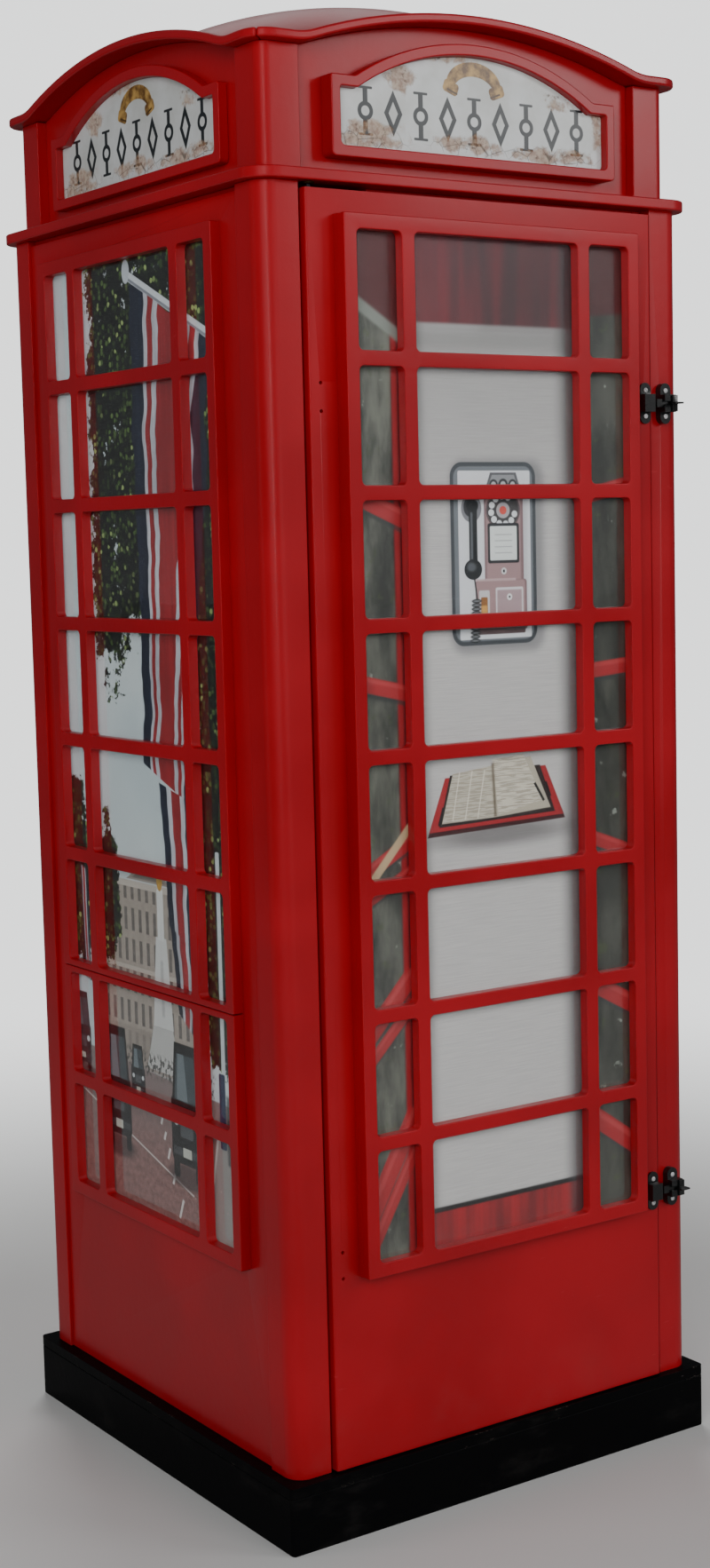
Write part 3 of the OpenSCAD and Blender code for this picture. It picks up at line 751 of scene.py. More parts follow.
@made_once
def booth_print(part):
    """Picture of a booth's inside: one material for each part of it."""
    material, n, shader = new_material(f"booth_print_{part}")
    place = board_place(n, "front")
    linen = n.noise(n.scaled(place, (14, 620, 1)), 1.0, 3.0, 0.6)
    ground = n.mix(n.ramp(linen, 0.25, 0.75), "b5afae", "c4bebc")
    height_up = n.parts(place)[1]
    ground = n.mix(n.ramp(height_up, 1.50, 2.03, 0.0, 0.50), ground, "7f7b7a")
    p = Picture(n, place, ground, settings().pictures.blur * MM)
    if part in WINDOWS:
        paint_side_windows(p, WINDOWS[part])
    else:
        for name, _, _, paint in PICTURE_BANDS:
            if name == part:
                paint(p)
        paint_side_shade(p)
    printed_finish(n, shader, place, p.colour)
    return material


def part_at(x, z):
    """Name of the part of the door's picture that holds a place on it."""
    if abs(x) > COLUMN_EDGE:
        return "left_window" if x < 0 else "right_window"
    found = [name for name, low, high, _ in PICTURE_BANDS if low < z < high]
    return found[0] if found else "wall"


def spread_picture(piece):
    """Cuts the door's printed board along its parts and gives each its own material."""
    work = bmesh.new()
    work.from_mesh(piece.data)
    cuts = [((x, 0, 0), (1, 0, 0)) for x in (-COLUMN_EDGE, COLUMN_EDGE)]
    cuts += [((0, 0, z), (0, 0, 1)) for _, low, high, _ in PICTURE_BANDS for z in (low, high)]
    for point, normal in cuts:
        geometry = work.verts[:] + work.edges[:] + work.faces[:]
        bmesh.ops.bisect_plane(work, geom=geometry, plane_co=point, plane_no=normal)
    names = []
    for face in work.faces:
        centre = face.calc_center_median()
        name = part_at(centre.x, centre.z)
        if name not in names:
            names.append(name)
        face.material_index = names.index(name)
    piece.data.materials.clear()
    for name in names:
        piece.data.materials.append(booth_print(name))
    work.to_mesh(piece.data)
    work.free()


def leaves(n, place, coarse):
    """Colour of foliage in sun and shade, leaf by leaf, and its ragged cover."""
    leaf = n.cells(n.scaled(place, (1.0, 1.0, 0.8)), 105.0)
    shade = n.add("ShaderNodeSeparateColor", {0: leaf["Color"]}).outputs[0]
    clumps = n.line(shade, 0.10, n.noise(place, coarse, 6.0, 0.74))
    colour = n.mix(n.ramp(shade, 0.30, 0.90), "0b110b", "4c6430")
    colour = n.mix(n.ramp(shade, 0.90, 0.94), colour, "94a864")
    colour = n.mix(n.ramp(leaf["Distance"], 0.40, 0.62), colour, "0a0f0a")
    colour = n.mix(n.clouds(place, 11, 2.0, 0.6, 0.44, 0.60), colour, n.mix(0.72, colour, "090d09"))
    return colour, clumps


def paint_banner(p, top, bottom, stripes, sway):
    """Hanging striped cloth between its top and bottom edges, stripe after stripe from the left."""
    n = p.n
    still = p.place
    ripple = n.noise(n.scaled(still, (3, 9, 1)), 1.0, 2.0, 0.5)
    shift = n.times(n.math("SUBTRACT", ripple, 0.5), sway)
    p.place = n.vector("ADD", still, n.point(shift))
    a, b = [Vector(v) for v in top]
    c, d = [Vector(v) for v in bottom]
    whole = sum(width for width, _ in stripes)
    start = 0.0
    folds = n.clouds(n.scaled(still, (60, 3, 1)), 1.0, 2.0, 0.5, 0.3, 0.7, 0.62, 1.0)
    for width, colour in stripes:
        end = start + width / whole
        corners = [c.lerp(d, start), c.lerp(d, end), a.lerp(b, end), a.lerp(b, start)]
        p.patch([tuple(v) for v in corners], n.mix(1.0, colour, folds, "MULTIPLY"))
        start = end
    p.place = still


def paint_car(p, x, z, w, h, body):
    """Back or front of a dark car standing on the road, as plain soft shapes."""
    p.disc(x, z - h * 0.50, w * 0.62, h * 0.09, "3a2b2c", 6, strength=0.8)
    for side in (-1, 1):
        p.box(x + side * w * 0.36, z - h * 0.42, w * 0.20, h * 0.20, "0b0b0c", w * 0.06)
    p.box(x, z - h * 0.16, w, h * 0.50, body, w * 0.14)
    p.patch([(x - w * 0.46, z + h * 0.02), (x + w * 0.46, z + h * 0.02), (x + w * 0.34, z + h * 0.48),
             (x - w * 0.34, z + h * 0.48)], body)
    p.patch([(x - w * 0.38, z + h * 0.06), (x + w * 0.38, z + h * 0.06), (x + w * 0.29, z + h * 0.40),
             (x - w * 0.29, z + h * 0.40)], "3c454a")
    p.patch([(x - w * 0.30, z + h * 0.06), (x + w * 0.06, z + h * 0.06), (x - w * 0.04, z + h * 0.40),
             (x - w * 0.24, z + h * 0.40)], "8f9a9f", strength=0.45)
    p.box(x, z - h * 0.14, w * 0.42, h * 0.14, "4b4e52", w * 0.04)
    for side in (-1, 1):
        p.disc(x + side * w * 0.34, z - h * 0.10, w * 0.08, w * 0.08, "c9cdcf")
    p.box(x, z - h * 0.32, w * 0.90, h * 0.06, "3b3d40", w * 0.03)
    p.box(x, z - h * 0.32, w * 0.28, h * 0.07, "b7b7ac", w * 0.01)


@effect("Street View", ("Place",), (), {"Color": "Color"})
def street_view(n, given):
    """Street in summer: trees, banners, a stone front with windows, a column, cars and a red road."""
    place = given["Place"]
    parts = n.parts(place)
    across, up = parts[0], parts[1]
    sky = n.mix(n.clouds(place, 3, 2.0, 0.5, 0.35, 0.7), "bcc6ca", "c9d0d2")
    p = Picture(n, place, sky, settings().pictures.blur * MM)
    white, red, navy = "c4c4cc", "9c1f26", "1c2236"
    # stone front with rows of windows and a pediment
    stone = n.mix(n.clouds(place, 60, 3.0, 0.6, 0.35, 0.7), "857a72", "a79c92")
    window_rows = n.add("ShaderNodeTexBrick", {
        "Vector": place, "Color1": "4e4a4a", "Color2": "5b5553", "Mortar": "a0958b",
        "Scale": 1.0, "Mortar Size": 0.0085, "Mortar Smooth": 0.2, "Brick Width": 0.026,
        "Row Height": 0.056}, offset=0.0).outputs[0]
    front = n.mix(0.75, stone, window_rows)
    p.box(-20, 880, 330, 330, front)
    p.box(-20, 1044, 330, 12, "b8aea4")
    p.box(-20, 892, 330, 8, "b3a99f")
    p.patch([(-85, 1052), (75, 1052), (-4, 1092), (-6, 1092)], "9b9087")
    p.patch([(-64, 1056), (54, 1056), (-4, 1084), (-6, 1084)], "7d736c")
    p.box(-20, 745, 330, 80, "8d827a", blur=4, strength=0.7)
    # column with figures left plain
    p.patch([(-30, 720), (85, 720), (66, 800), (-2, 800)], "b5b3b0")
    p.patch([(-2, 800), (68, 800), (52, 960), (16, 960)], "c6c5c3")
    p.box(34, 1000, 22, 90, "d0cfcd", 4)
    p.disc(34, 1060, 10, 18, "b98f3e")
    p.box(34, 870, 10, 100, "9c9b99", 4, 3, strength=0.6)
    # road, far kerb and markings
    grit = n.mix(n.clouds(place, 90, 3.0, 0.6, 0.3, 0.7), "74504d", "8e6762")
    road = n.mix(n.ramp(up, 0.50, 0.76), grit, "7c6f6d")
    p.patch([(-300, 430), (300, 430), (300, 700), (-300, 726)], road, 2)
    p.patch([(160, 430), (300, 430), (300, 640), (215, 668)], "8b8481", 2)
    p.bar((158, 430), (214, 668), 6, "b5afab", 1.5)
    for low, high in ((470, 505), (526, 552), (568, 588), (600, 615), (626, 638)):
        p.bar((100 - 0.42 * (high - 430), low), (100 - 0.42 * (low - 430), high), 6, "cfcac6")
    p.bar((-290, 640), (120, 520), 3, "c7bfba", 1.2)
    marks = n.clouds(n.scaled(place, (1, 2, 1)), 46, 2.0, 0.5, 0.70, 0.74)
    p.lay(n.times(marks, n.ramp(up, 0.60, 0.56)), "b59c97", 0.7)
    # far crowd and small cars
    crowd = n.clouds(n.scaled(place, (1.6, 1, 1)), 85, 3.0, 0.6, 0.50, 0.56)
    band = p.box_mask(0, 726, 400, 40, 0, 8)
    p.lay(n.times(crowd, band), "2a2729", 0.85)
    paint_car(p, -66, 706, 50, 100, "1d2022")
    paint_car(p, -276, 748, 68, 150, "2a2d30")
    paint_car(p, -142, 668, 92, 225, "17181a")
    paint_car(p, 102, 668, 104, 240, "121314")
    # trees: crown over the street, one at each side, ragged where they meet the sky
    colour, clumps = leaves(n, place, 17)
    edge = n.ramp(across, -0.245, -0.125)
    low = n.ramp(n.line(across, -0.55, up), 1.20, 1.62)
    crown = n.times(edge, low)
    right = n.times(n.ramp(across, 0.150, 0.215), n.ramp(up, 0.64, 0.86))
    cover = n.math("MAXIMUM", crown, n.times(right, 1.4))
    for x, z, rx, rz in ((-150, 1020, 50, 170), (-265, 1040, 75, 210)):
        cover = n.math("MAXIMUM", cover, p.disc_mask(x, z, rx, rz, rx * 0.55))
    mask = n.ramp(n.line(cover, 0.66, clumps), 1.050, 1.070)
    p.lay(mask, colour)
    # pole with its knob, the long banner and the further ones
    p.bar((-10, 2092), (300, 1950), 16, "c9cbd0")
    p.bar((-10, 2087), (300, 1945), 5, "80828a")
    p.disc(-12, 2098, 13, 20, "b9bdc4")
    long_stripes = ((1.7, navy), (0.5, white), (0.7, red), (0.7, white), (3.0, red), (0.7, white),
                    (0.7, red), (0.5, white), (1.7, navy))
    paint_banner(p, ((-4, 2078), (262, 1955)), ((0, 1262), (150, 1196)), long_stripes, 0.05)
    short_stripes = ((1.0, navy), (0.6, white), (1.2, red), (0.6, white), (1.0, navy))
    for top, bottom, sway in ((((45, 1232), (150, 1205)), ((66, 985), (150, 940)), 0.03),
                              (((70, 985), (150, 950)), ((85, 835), (140, 800)), 0.03),
                              (((-262, 1060), (-235, 1050)), ((-252, 850), (-232, 845)), 0.01)):
        paint_banner(p, top, bottom, short_stripes, sway)
    # lamp post at the near kerb
    p.box(232, 940, 12, 380, "bfc3c5", 3)
    p.box(226, 690, 20, 130, "1a2a48", 4)
    p.box(258, 660, 40, 120, "26282a", 3, 4, strength=0.8)
    return {"Color": p.colour}


@made_once
def street_print(side):
    """Street picture on the board of one side."""
    material, n, shader = new_material(f"street_print_{side}")
    place = board_place(n, side)
    printed_finish(n, shader, place, n.group(street_view(), Place=place)[0])
    return material


@effect("Sign Face", ("Place",), (), {"Color": "Color", "Rust": "Float", "Cloud": "Float"})
def sign_face(n, given):
    """Aged enamel with rust and cracks, a row of plain ornaments and a handset over them."""
    signs = settings().signs
    place = given["Place"]
    parts = n.parts(place)
    across, up = parts[0], parts[1]
    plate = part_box("front_sign_plate")
    foot, reach = plate[0].z * MM, plate[1].x * MM
    cloud = n.noise(place, 9, 4.0, 0.6)
    ground = n.mix(n.ramp(cloud, 0.35, 0.7), signs.enamel, "bfc1bd")
    p = Picture(n, place, ground, 0.6)
    # row of ornaments: tall bars with lozenges between them
    ink = signs.ink
    pitch = 2 * (reach - 28) / signs.ornaments
    for i in range(signs.ornaments):
        x = -reach + 28 + pitch * (i + 0.5)
        z = foot + 58
        tall = 36
        if i % 2:
            p.patch([(x - 18, z), (x, z - tall), (x + 18, z), (x, z + tall)], ink)
            p.patch([(x - 9, z), (x, z - tall * 0.5), (x + 9, z), (x, z + tall * 0.5)], ground)
        else:
            p.box(x, z, 9.5, 2 * tall, ink)
            for end in (-1, 1):
                p.box(x, z + end * tall, 28, 4.2, ink, 1.5)
            p.disc(x, z, 15, 15, ink)
            p.disc(x, z, 7.8, 7.8, ground)
    # handset over the row, in worn bronze
    bronze = n.mix(n.clouds(place, 45, 3.0, 0.6, 0.35, 0.7), "5f3f1a", "c19a55")
    top = foot + 127
    arch = n.times(p.disc_mask(0, top - 12, 56, 38),
                  n.math("SUBTRACT", 1.0, p.disc_mask(0, top - 24, 42, 27)))
    arch = n.times(arch, n.ramp(up, (top - 14) / MM, (top - 10) / MM))
    p.lay(arch, bronze)
    for end in (-1, 1):
        p.box(end * 47, top - 18, 31, 20, bronze, 6, turn=-end * 0.35)
        p.box(end * 44, top - 24, 22, 3, "4a3214", 1, turn=-end * 0.35)
    # rust: lower left, top middle and right shoulder, thin along the foot
    blotch = n.noise(place, 26, 5.0, 0.68)
    spots = ((-215, foot + 20, 90, 30), (-150, foot + 115, 40, 30), (-60, foot + 155, 90, 12),
             (-10, foot + 20, 90, 20), (160, foot + 16, 110, 18), (175, foot + 105, 40, 20),
             (262, foot + 80, 20, 60))
    near = 0.0
    for x, z, rx, rz in spots:
        spot = p.disc_mask(x, z, rx, rz, min(rx, rz) * 0.75)
        near = n.math("MAXIMUM", spot, near)
    rust = n.ramp(n.line(near, 0.46, blotch), 0.80, 0.96)
    p.lay(rust, n.mix(n.clouds(place, 120, 3.0, 0.6, 0.35, 0.65), "96694c", "c4ab92"), 0.70)
    deep = n.ramp(n.line(near, 0.36, n.noise(place, 75, 4.0, 0.7)), 0.90, 1.0)
    p.lay(deep, "54423a", 0.65)
    # cracks in the enamel near the rust
    cells = n.cells(place, 34.0, "DISTANCE_TO_EDGE")["Distance"]
    low = n.ramp(up, (foot + 40) / MM, (foot + 12) / MM)
    cracks = n.times(n.ramp(cells, 0.03, 0.005), n.times(n.ramp(near, 0.3, 0.9), low))
    p.lay(cracks, "4a4440", 0.7)
    rim = n.ramp(n.math("ABSOLUTE", across), (reach - 4) / MM, (reach + 1) / MM)
    p.lay(rim, "8c8278", 0.5)
    return {"Color": p.colour, "Rust": n.math("MAXIMUM", rust, deep), "Cloud": cloud}


@made_once
def sign_enamel(side):
    """Sign plate of one side."""
    material, n, shader = new_material(f"sign_enamel_{side}")
    place = board_place(n, side)
    face = n.group(sign_face(), Place=place)
    n.feed(shader.inputs["Base Color"], face["Color"])
    n.feed(shader.inputs["Roughness"], n.ramp(face["Rust"], 0.0, 1.0, 0.30, 0.75))
    bumped(n, shader, n.line(face["Rust"], -0.8, face["Cloud"]), 0.0003)
    return material


# --------------------------------------------------------------------------- meshes


def linked(name, data):
    """New object of data in the scene."""
    obj = bpy.data.objects.new(name, data)
    bpy.context.scene.collection.objects.link(obj)
    return obj


def ride_as(piece, node):
    """Puts piece on its CAD node's body, in that node's place."""
    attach(piece, BODY_OF[node])
    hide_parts(node)
    return piece


def welded_copy(node, shrink=0.0):
    """CAD node's mesh with its loose triangles joined into flat faces, drawn in by shrink."""
    source = bmesh.new()
    source.from_mesh(frame["nodes"][node].data)
    bmesh.ops.remove_doubles(source, verts=source.verts, dist=0.000005)
    bmesh.ops.dissolve_limit(source, angle_limit=math.radians(0.6), verts=source.verts, edges=source.edges)
    if shrink:
        low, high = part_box(node)
        middle, half = (low + high) / 2, (high - low) / 2
        factors = Vector((1 - shrink / h for h in half))
        for vertex in source.verts:
            vertex.co = Vector((m + (c - m) * f for c, m, f in zip(vertex.co, middle, factors)))
    mesh = bpy.data.meshes.new(node + "_piece")
    source.to_mesh(mesh)
    source.free()
    return mesh


def plain_piece(obj, name):
    """Plain mesh object of obj as its modifiers leave it; obj is removed."""
    graph = bpy.context.evaluated_depsgraph_get()
    mesh = bpy.data.meshes.new_from_object(obj.evaluated_get(graph), preserve_all_data_layers=True,
                                           depsgraph=graph)
    spent = obj.data
    bpy.data.objects.remove(obj)
    bpy.data.meshes.remove(spent)
    return linked(name, mesh)


def eased_piece(node, material, slot, radius, steps=None, shrink=0.0):
    """Piece that stands for a CAD node, with its sharp edges rounded to radius."""
    mesh = welded_copy(node, shrink)
    mesh.materials.clear()
    mesh.materials.append(material)
    for polygon in mesh.polygons:
        polygon.use_smooth = True
        polygon.material_index = 0
    mesh.set_sharp_from_angle(angle=math.radians(CREASE_ANGLE))
    rough = linked(node + "_rough", mesh)
    bevel = rough.modifiers.new("Eased Edges", "BEVEL")
    bevel.width = radius
    bevel.segments = steps or settings().edges.steps
    bevel.limit_method = "ANGLE"
    bevel.angle_limit = math.radians(EASE_ANGLE)
    bevel.harden_normals = True
    bevel.use_clamp_overlap = True
    bevel.miter_outer = "MITER_ARC"
    return ride_as(plain_piece(rough, node + "_eased"), node)


def red_pieces(names, radius, **options):
    for name in names:
        eased_piece(name, red_paint(), "red_paint", radius, **options)


# --------------------------------------------------------------------------- geometry nodes


def growing_tree(name, floats, counts=()):
    """Geometry tree that takes a seed, sizes, counts and a material, with its helper and its inputs."""
    tree = bpy.data.node_groups.new(name, "GeometryNodeTree")
    sizes = {**dict.fromkeys(floats, "Float"), **dict.fromkeys(counts, "Int")}
    return tree, *declare(tree, {"Geometry": "Geometry", **sizes, "Material": "Material"},
                          {"Geometry": "Geometry"})


def screw_tree():
    """Screws: domed heads with a cross, one on each point of the mesh, each turned its own way."""
    tree, n, given = growing_tree("Cross Screws", ("Head Radius", "Head Height", "Slot Width"))
    radius, height = given["Head Radius"], given["Head Height"]
    double = n.times(radius, 2.0)
    # a ball squashed to the head's dome, cut off at its foot
    ball = n.geo("MeshUVSphere", {"Segments": 28, "Rings": 14, "Radius": 1.0})
    dome = n.geo("Transform", {"Geometry": ball, "Scale": n.point(radius, radius, height)})
    block = n.geo("MeshCube", {"Size": n.point(double, double, double)})
    below = n.point(z=n.times(radius, -1.0))
    cut = n.add("GeometryNodeMeshBoolean", {
        "Mesh 1": dome, "Mesh 2": n.geo("Transform", {"Geometry": block, "Translation": below})},
        operation="DIFFERENCE")
    # the cross
    for turn in (0, math.pi / 2):
        arm = n.geo("MeshCube", {"Size": n.point(n.times(radius, 1.15), given["Slot Width"], height)})
        n.feed(cut.inputs["Mesh 2"], n.geo("Transform", {
            "Geometry": arm, "Translation": n.point(z=height), "Rotation": (0, 0, turn)}))
    smooth = n.geo("SetShadeSmooth", {"Geometry": cut.outputs[0]})
    # heads look towards -Y, each with its own turn about that axis
    spin = n.add("FunctionNodeRandomValue", {"Min": (0, 0, 0), "Max": (0, 0, math.tau), "Seed": 7},
                 data_type="FLOAT_VECTOR").outputs[0]
    upright = n.geo("InstanceOnPoints", {
        "Points": given["Geometry"], "Instance": smooth, "Rotation": (math.pi / 2, 0, 0)})
    turned = n.geo("RotateInstances", {"Instances": upright, "Rotation": spin})
    real = n.geo("RealizeInstances", {"Geometry": turned})
    done = n.geo("SetMaterial", {"Geometry": real, "Material": given["Material"]})
    n.add("NodeGroupOutput", {0: done})
    return tree


LATTICE_SIZES = ("Width", "Height", "Thickness", "Border", "Top Border", "Bar Width", "Bar Height",
                 "Narrow Pane", "Pane Height", "Pane Corner", "Edge Radius")
LATTICE_CORNER = 0.003
WELD = 0.0001


def lattice_tree():
    """Board with rows of three rounded openings and eased front edges, facing -Y from the seed's point."""
    tree, n, given = growing_tree("Pane Lattice", LATTICE_SIZES, ("Rows", "Edge Steps"))
    (width, height, thickness, border, top_border, bar_width, bar_height, narrow, pane_height, corner,
     edge) = (given[label] for label in LATTICE_SIZES)
    columns = n.math("ADD", n.math("ADD", border, narrow), bar_width)
    wide = n.math("SUBTRACT", width, n.times(2.0, columns))
    step = n.times(n.math("ADD", pane_height, bar_height), -1.0)
    top = n.math("SUBTRACT", height, n.line(pane_height, 0.5, top_border))

    def join(parts):
        joined = n.add("GeometryNodeJoinGeometry")
        for part in parts:
            n.feed(joined.inputs[0], part)
        return joined.outputs[0]

    def moved(geometry, up=0.0, out=0.0):
        return n.geo("Transform", {"Geometry": geometry, "Translation": n.point(0.0, up, out)})

    def ring(across, upright, radius, grow):
        """Rounded rectangle about the origin, its sides moved outwards by grow."""
        square = n.geo("CurvePrimitiveQuadrilateral", {
            "Width": n.line(grow, 2.0, across), "Height": n.line(grow, 2.0, upright)})
        return n.geo("FilletCurve", {"Curve": square, "Radius": n.math("ADD", radius, grow), "Count": 8},
                     mode="POLY")

    def openings(grow):
        """Three columns of openings, the middle one wide."""
        columns = []
        for side in (-1, 0, 1):
            middle = n.times(side, n.math("ADD", bar_width, n.times(0.5, n.math("ADD", wide, narrow))))
            line = n.geo("MeshLine", {
                "Count": given["Rows"], "Start Location": n.point(middle, top), "Offset": n.point(y=step)})
            pane = ring(narrow if side else wide, pane_height, corner, grow)
            columns.append(n.geo("InstanceOnPoints", {"Points": line, "Instance": pane}))
        return n.geo("RealizeInstances", {"Geometry": join(columns)})

    def outline(grow):
        return moved(ring(width, height, LATTICE_CORNER, grow), up=n.times(height, 0.5))

    def wall(rings, turn):
        """Straight wall from the back to the rounded front edge, swept along rings."""
        steps = n.math("MAXIMUM", given["Edge Steps"], 1)
        count = n.geo("MeshLine", {"Count": n.math("ADD", steps, 2)})
        index = n.geo("InputIndex")
        reached = n.math("DIVIDE", n.math("MAXIMUM", n.math("SUBTRACT", index, 1), 0), steps)
        angle = n.times(math.pi / 2, reached)
        inwards = n.times(edge, n.math("SUBTRACT", 1.0, n.math("COSINE", angle)))
        straight = n.times(n.math("SUBTRACT", thickness, edge), n.math("GREATER_THAN", index, 0.5))
        upwards = n.line(edge, n.math("SINE", angle), straight)
        place = n.point(n.times(turn, inwards), n.times(-1.0, upwards))
        line = n.geo("SetPosition", {"Geometry": count, "Position": place})
        profile = n.geo("MeshToCurve", {"Mesh": line})
        level = n.geo("SetCurveNormal", {"Curve": rings}, mode="Z_UP")
        swept = n.geo("CurveToMesh", {"Curve": level, "Profile Curve": profile})
        return swept if turn > 0 else n.geo("FlipFaces", {"Mesh": swept})

    def sheet(*parts):
        return n.geo("FillCurve", {"Curve": join(parts)}, mode="TRIANGLES")

    foot = n.geo("FlipFaces", {"Mesh": sheet(openings(0.0), outline(0.0))})
    front = moved(sheet(openings(edge), outline(n.times(edge, -1.0))), out=thickness)
    shell = join((front, foot, wall(openings(0.0), 1), wall(outline(0.0), -1)))
    closed = n.geo("MergeByDistance", {"Geometry": shell, "Distance": WELD})
    stood = n.geo("Transform", {"Geometry": closed, "Rotation": (math.pi / 2, 0, 0)})
    placed = n.geo("InstanceOnPoints", {"Points": given["Geometry"], "Instance": stood})
    real = n.geo("RealizeInstances", {"Geometry": placed})
    smooth = n.geo("SetShadeSmooth", {"Geometry": real})
    sharp = n.math("GREATER_THAN", n.geo("InputMeshEdgeAngle"), math.radians(CREASE_ANGLE))
    creased = n.geo("SetShadeSmooth", {"Geometry": smooth, "Selection": sharp, "Shade Smooth": False},
                    domain="EDGE")
    done = n.geo("SetMaterial", {"Geometry": creased, "Material": given["Material"]})
    n.add("NodeGroupOutput", {0: done})
    return tree


def lattice_piece(tree, node, side, rows, top_border, foot_border):
    """Lattice that tree grows in place of a CAD node on one side of the booth."""
    sizes, edges = settings().lattices, settings().edges
    turn = Matrix.Rotation(TURN[side], 3, "Z")
    corners = [turn.inverted() @ Vector(corner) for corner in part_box(node)]
    low, high = (Vector(map(pick, *corners)) for pick in (min, max))
    width, thickness, height = high - low
    panes = height - top_border - foot_border - (rows - 1) * sizes.bar_height
    piece = grown(tree, node + "_grown", [((low.x + high.x) / 2, high.y, low.z)], {
        "Width": width, "Height": height, "Thickness": thickness, "Border": sizes.border,
        "Top Border": top_border, "Bar Width": sizes.bar_width, "Bar Height": sizes.bar_height,
        "Narrow Pane": sizes.narrow_pane, "Pane Height": panes / rows, "Pane Corner": sizes.corner,
        "Edge Radius": edges.board, "Rows": rows, "Edge Steps": edges.steps, "Material": red_paint()})
    piece.data.transform(turn.to_4x4())
    return ride_as(piece, node)


def grown(tree, name, points, inputs):
    """Plain mesh that tree grows on points, its inputs set by their labels."""
    sockets = {item.name: item.identifier for item in tree.interface.items_tree if item.in_out == "INPUT"}
    mesh = bpy.data.meshes.new(name + "_points")
    mesh.from_pydata(points, [], [])
    seed = linked(name + "_seed", mesh)
    modifier = seed.modifiers.new("Grow", "NODES")
    modifier.node_group = tree
    for label, value in inputs.items():
        modifier[sockets[label]] = value
    seed.modifiers.new("Even Shading", "WEIGHTED_NORMAL").keep_sharp = True
    piece = plain_piece(seed, name)
    for index in reversed(range(len(piece.data.materials))):
        if piece.data.materials[index] is None:
            piece.data.materials.pop(index=index)
    return piece


# --------------------------------------------------------------------------- operators


class BOOTH_OT_plinth(Operator):
    """Black plinth ring and base board"""

    bl_idname = "booth.plinth"
    bl_label = "Plinth"

    def execute(self, context):
        for name in ("plinth_frame", "base_board"):
            eased_piece(name, black_paint(), "black_paint", settings().edges.plinth)
        return {"FINISHED"}


class BOOTH_OT_body(Operator):
    """Corner posts, wall boards and door stops"""

    bl_idname = "booth.body"
    bl_label = "Body"

    def execute(self, context):
        names = [f"{corner}_post" for corner in CORNERS] + [f"{wall}_panel" for wall in WALLS]
        red_pieces(names + ["right_stop", "head_stop"], settings().edges.board)
        return {"FINISHED"}


class BOOTH_OT_lattices(Operator):
    """Lattices of the walls and the door"""

    bl_idname = "booth.lattices"
    bl_label = "Lattices"

    def execute(self, context):
        sizes = settings().lattices
        tree = lattice_tree()
        half_bar = (sizes.bar_height - sizes.split_gap) / 2
        lower_rows = sizes.rows - sizes.upper_rows
        for wall in WALLS:
            lattice_piece(tree, f"{wall}_upper_lattice", wall, sizes.upper_rows, sizes.border, half_bar)
            lattice_piece(tree, f"{wall}_lower_lattice", wall, lower_rows, half_bar, sizes.border)
        lattice_piece(tree, "door_lattice", "front", sizes.rows, sizes.border, sizes.border)
        return {"FINISHED"}


class BOOTH_OT_door(Operator):
    """Door leaf and the ring behind its lattice"""

    bl_idname = "booth.door"
    bl_label = "Door"

    def execute(self, context):
        red_pieces(("door_leaf",), settings().edges.board)
        red_pieces(("door_spacer",), settings().edges.board / 3)
        return {"FINISHED"}


class BOOTH_OT_pictures(Operator):
    """Printed boards and the clear panes over them"""

    bl_idname = "booth.pictures"
    bl_label = "Pictures"

    def execute(self, context):
        gap = settings().pictures.pane_gap
        for wall in WALLS:
            eased_piece(f"{wall}_print", street_print(wall), "street_print", PRINT_EDGE, steps=1)
            eased_piece(f"{wall}_pane", clear_acrylic(), "clear_acrylic", PANE_EDGE, steps=1, shrink=gap)
        spread_picture(eased_piece("door_print", booth_print("wall"), "booth_print", PRINT_EDGE, steps=1))
        eased_piece("door_pane", clear_acrylic(), "clear_acrylic", PANE_EDGE, steps=1, shrink=gap)
        return {"FINISHED"}


class BOOTH_OT_head(Operator):
    """Cornice, pediments, crown moulding and roof"""

    bl_idname = "booth.head"
    bl_label = "Head"

    def execute(self, context):
        edges = settings().edges
        names = [f"{corner}_pediment_post" for corner in CORNERS] + ["roof_board"]
        red_pieces(names + [f"{side}_pediment_panel" for side in TURN], edges.board)
        red_pieces(["cornice_board"] + [f"{side}_moulding" for side in TURN], edges.moulding, steps=4)
        red_pieces(("roof_dome",), edges.board)
        return {"FINISHED"}


class BOOTH_OT_signs(Operator):
    """Sign frames and their enamelled plates"""

    bl_idname = "booth.signs"
    bl_label = "Signs"

    def execute(self, context):
        for side in TURN:
            red_pieces((f"{side}_sign_frame",), settings().edges.board * 1.4)
            eased_piece(f"{side}_sign_plate", sign_enamel(side), "sign_enamel", SIGN_EDGE, steps=1)
        return {"FINISHED"}


class BOOTH_OT_latches(Operator):
    """Slide latches and the door's pivots"""

    bl_idname = "booth.latches"
    bl_label = "Latches and Pivots"

    def execute(self, context):
        fitting = settings().edges.fitting
        for name in ("latch_housings", "latch_keepers", "upper_bolt", "lower_bolt"):
            eased_piece(name, black_plastic(), "black_plastic", fitting)
        eased_piece("pivot_pins", pin_steel(), "pin_steel", fitting)
        eased_piece("pivot_bushes", bush_brass(), "bush_brass", fitting / 2)
        return {"FINISHED"}


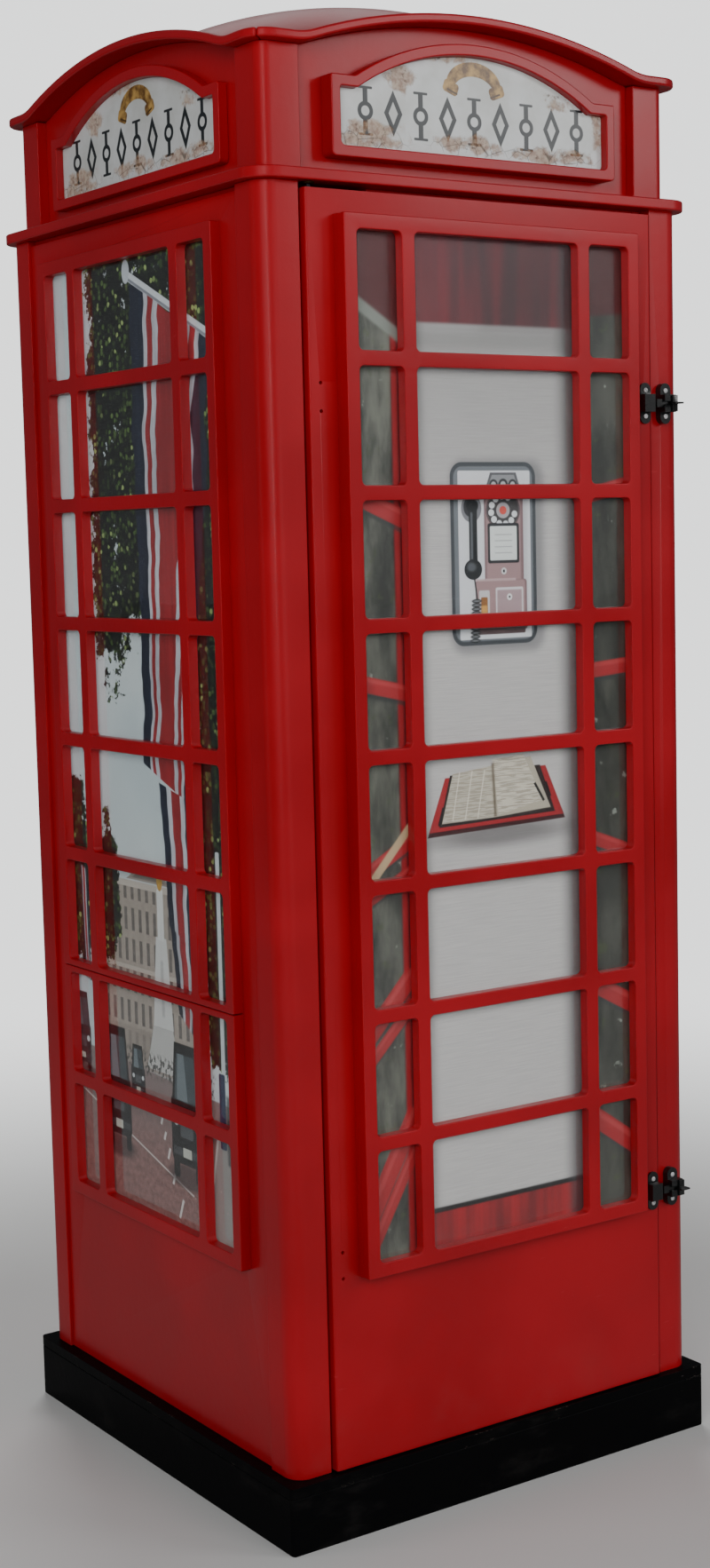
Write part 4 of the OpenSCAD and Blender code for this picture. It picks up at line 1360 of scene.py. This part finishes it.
class BOOTH_OT_screws(Operator):
    """Screws of the latches"""

    bl_idname = "booth.screws"
    bl_label = "Screws"

    def execute(self, context):
        fixings = settings().fixings
        tree = screw_tree()
        for node in ("housing_screws", "keeper_screws"):
            piece = grown(tree, node + "_heads", self.seats(node, fixings.head_height), {
                "Head Radius": fixings.head_radius, "Head Height": fixings.head_height,
                "Slot Width": fixings.slot_width, "Material": screw_steel()})
            ride_as(piece, node)
        return {"FINISHED"}

    @staticmethod
    def seats(node, height):
        """Foot of each screw's head: the node's solids come in two pairs, one over the other."""
        low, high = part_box(node)
        levels = sorted({round(v.co.z, 3) for v in frame["nodes"][node].data.vertices})
        bottoms = [z for i, z in enumerate(levels) if i == 0 or z - levels[i - 1] > 0.01]
        tops = [z for i, z in enumerate(levels) if i + 1 == len(levels) or levels[i + 1] - z > 0.01]
        return [((low.x + high.x) / 2, low.y + height, (a + b) / 2) for a, b in zip(bottoms, tops)]


class BOOTH_OT_stage(Operator):
    """Pale floor, soft lights and camera"""

    bl_idname = "booth.stage"
    bl_label = "Stage"

    def execute(self, context):
        stage = settings().stage
        self.lay_floor(stage)
        self.light(stage)
        self.place_camera(stage)
        return {"FINISHED"}

    def lay_floor(self, stage):
        """Pale floor that brightens to the backdrop far from the booth and throws little light back."""
        work = bmesh.new()
        bmesh.ops.create_circle(work, cap_ends=True, segments=96, radius=FLOOR_RADIUS)
        mesh = bpy.data.meshes.new("floor")
        work.to_mesh(mesh)
        work.free()
        material, n, shader = new_material("floor")
        far = n.ramp(n.vector("LENGTH", n.coordinates()), stage.clear_floor, stage.clear_floor * 4)
        seen = n.ray("Camera")
        n.fill(shader, {
            "Base Color": n.mix(seen, tuple(0.5 * c for c in stage.floor), stage.floor),
            "Roughness": 0.8, "Specular IOR Level": 0.2})
        backdrop = n.add("ShaderNodeEmission", {"Color": stage.backdrop})
        mixed_surface(n, n.times(far, seen), shader, backdrop)
        mesh.materials.append(material)
        linked("floor", mesh)

    def light(self, stage):
        """Light from all round, and area lights; only a mirrored one shows as a highlight on the paint."""
        world = bpy.data.worlds.new("surround")
        world.use_nodes = True
        n = Nodes(world.node_tree)
        seen = n.ray("Camera")
        n.fill(world.node_tree.nodes["Background"], {
            "Color": n.mix(seen, (0.95, 0.97, 1.0), stage.backdrop),
            "Strength": n.ramp(seen, 0.0, 1.0, stage.surround, 1.0)})
        bpy.context.scene.world = world
        for name, place, aim, size, share, mirrored in LIGHTS:
            lamp = bpy.data.lights.new(name, "AREA")
            lamp.shape = "RECTANGLE"
            lamp.size, lamp.size_y = size
            lamp.energy = stage.key * share
            holder = linked(name, lamp)
            holder.location = place
            holder.rotation_euler = (Vector(aim) - Vector(place)).to_track_quat("-Z", "Y").to_euler()
            holder.visible_glossy = mirrored

    def place_camera(self, stage):
        camera = bpy.data.cameras.new("camera")
        camera.lens = stage.lens
        camera.sensor_width = 36
        holder = linked("camera", camera)
        place, aim = Vector(CAMERA_PLACE), Vector(CAMERA_AIM)
        level = (aim - place).to_track_quat("-Z", "Y").to_matrix()
        roll = Matrix.Rotation(math.radians(CAMERA_ROLL), 3, "Z")
        holder.matrix_world = Matrix.Translation(place) @ (level @ roll).to_4x4()
        bpy.context.scene.camera = holder


class BOOTH_PT_panel(Panel):
    """Booth tools in the sidebar"""

    bl_label = "Telephone Booth"
    bl_idname = "BOOTH_PT_panel"
    bl_space_type = "VIEW_3D"
    bl_region_type = "UI"
    bl_category = "Booth"

    def draw(self, context):
        booth = context.scene.booth
        for part in self.own(booth):
            group = getattr(booth, part)
            box = self.layout.box()
            box.label(text=group.bl_rna.description)
            for name in self.own(group):
                box.prop(group, name)
        for step in STEPS:
            self.layout.operator(step.bl_idname)

    @staticmethod
    def own(group):
        """Names of the properties that a group declares itself."""
        return [name for name in group.bl_rna.properties.keys() if name not in ("rna_type", "name")]


# --------------------------------------------------------------------------- registration

GROUPS = (BoothPaint, BoothEdges, BoothLattices, BoothPictures, BoothSigns, BoothFixings, BoothStage,
          BoothSettings)
STEPS = (BOOTH_OT_plinth, BOOTH_OT_body, BOOTH_OT_lattices, BOOTH_OT_door, BOOTH_OT_pictures,
         BOOTH_OT_head, BOOTH_OT_signs, BOOTH_OT_latches, BOOTH_OT_screws, BOOTH_OT_stage)
CLASSES = (*GROUPS, *STEPS, BOOTH_PT_panel)


def register():
    for item in CLASSES:
        bpy.utils.register_class(item)
    bpy.types.Scene.booth = PointerProperty(type=BoothSettings)


def unregister():
    del bpy.types.Scene.booth
    for item in reversed(CLASSES):
        bpy.utils.unregister_class(item)


def main():
    register()
    for step in STEPS:
        group, call = step.bl_idname.split(".")
        getattr(getattr(bpy.ops, group), call)()


if __name__ == "__main__":
    main()
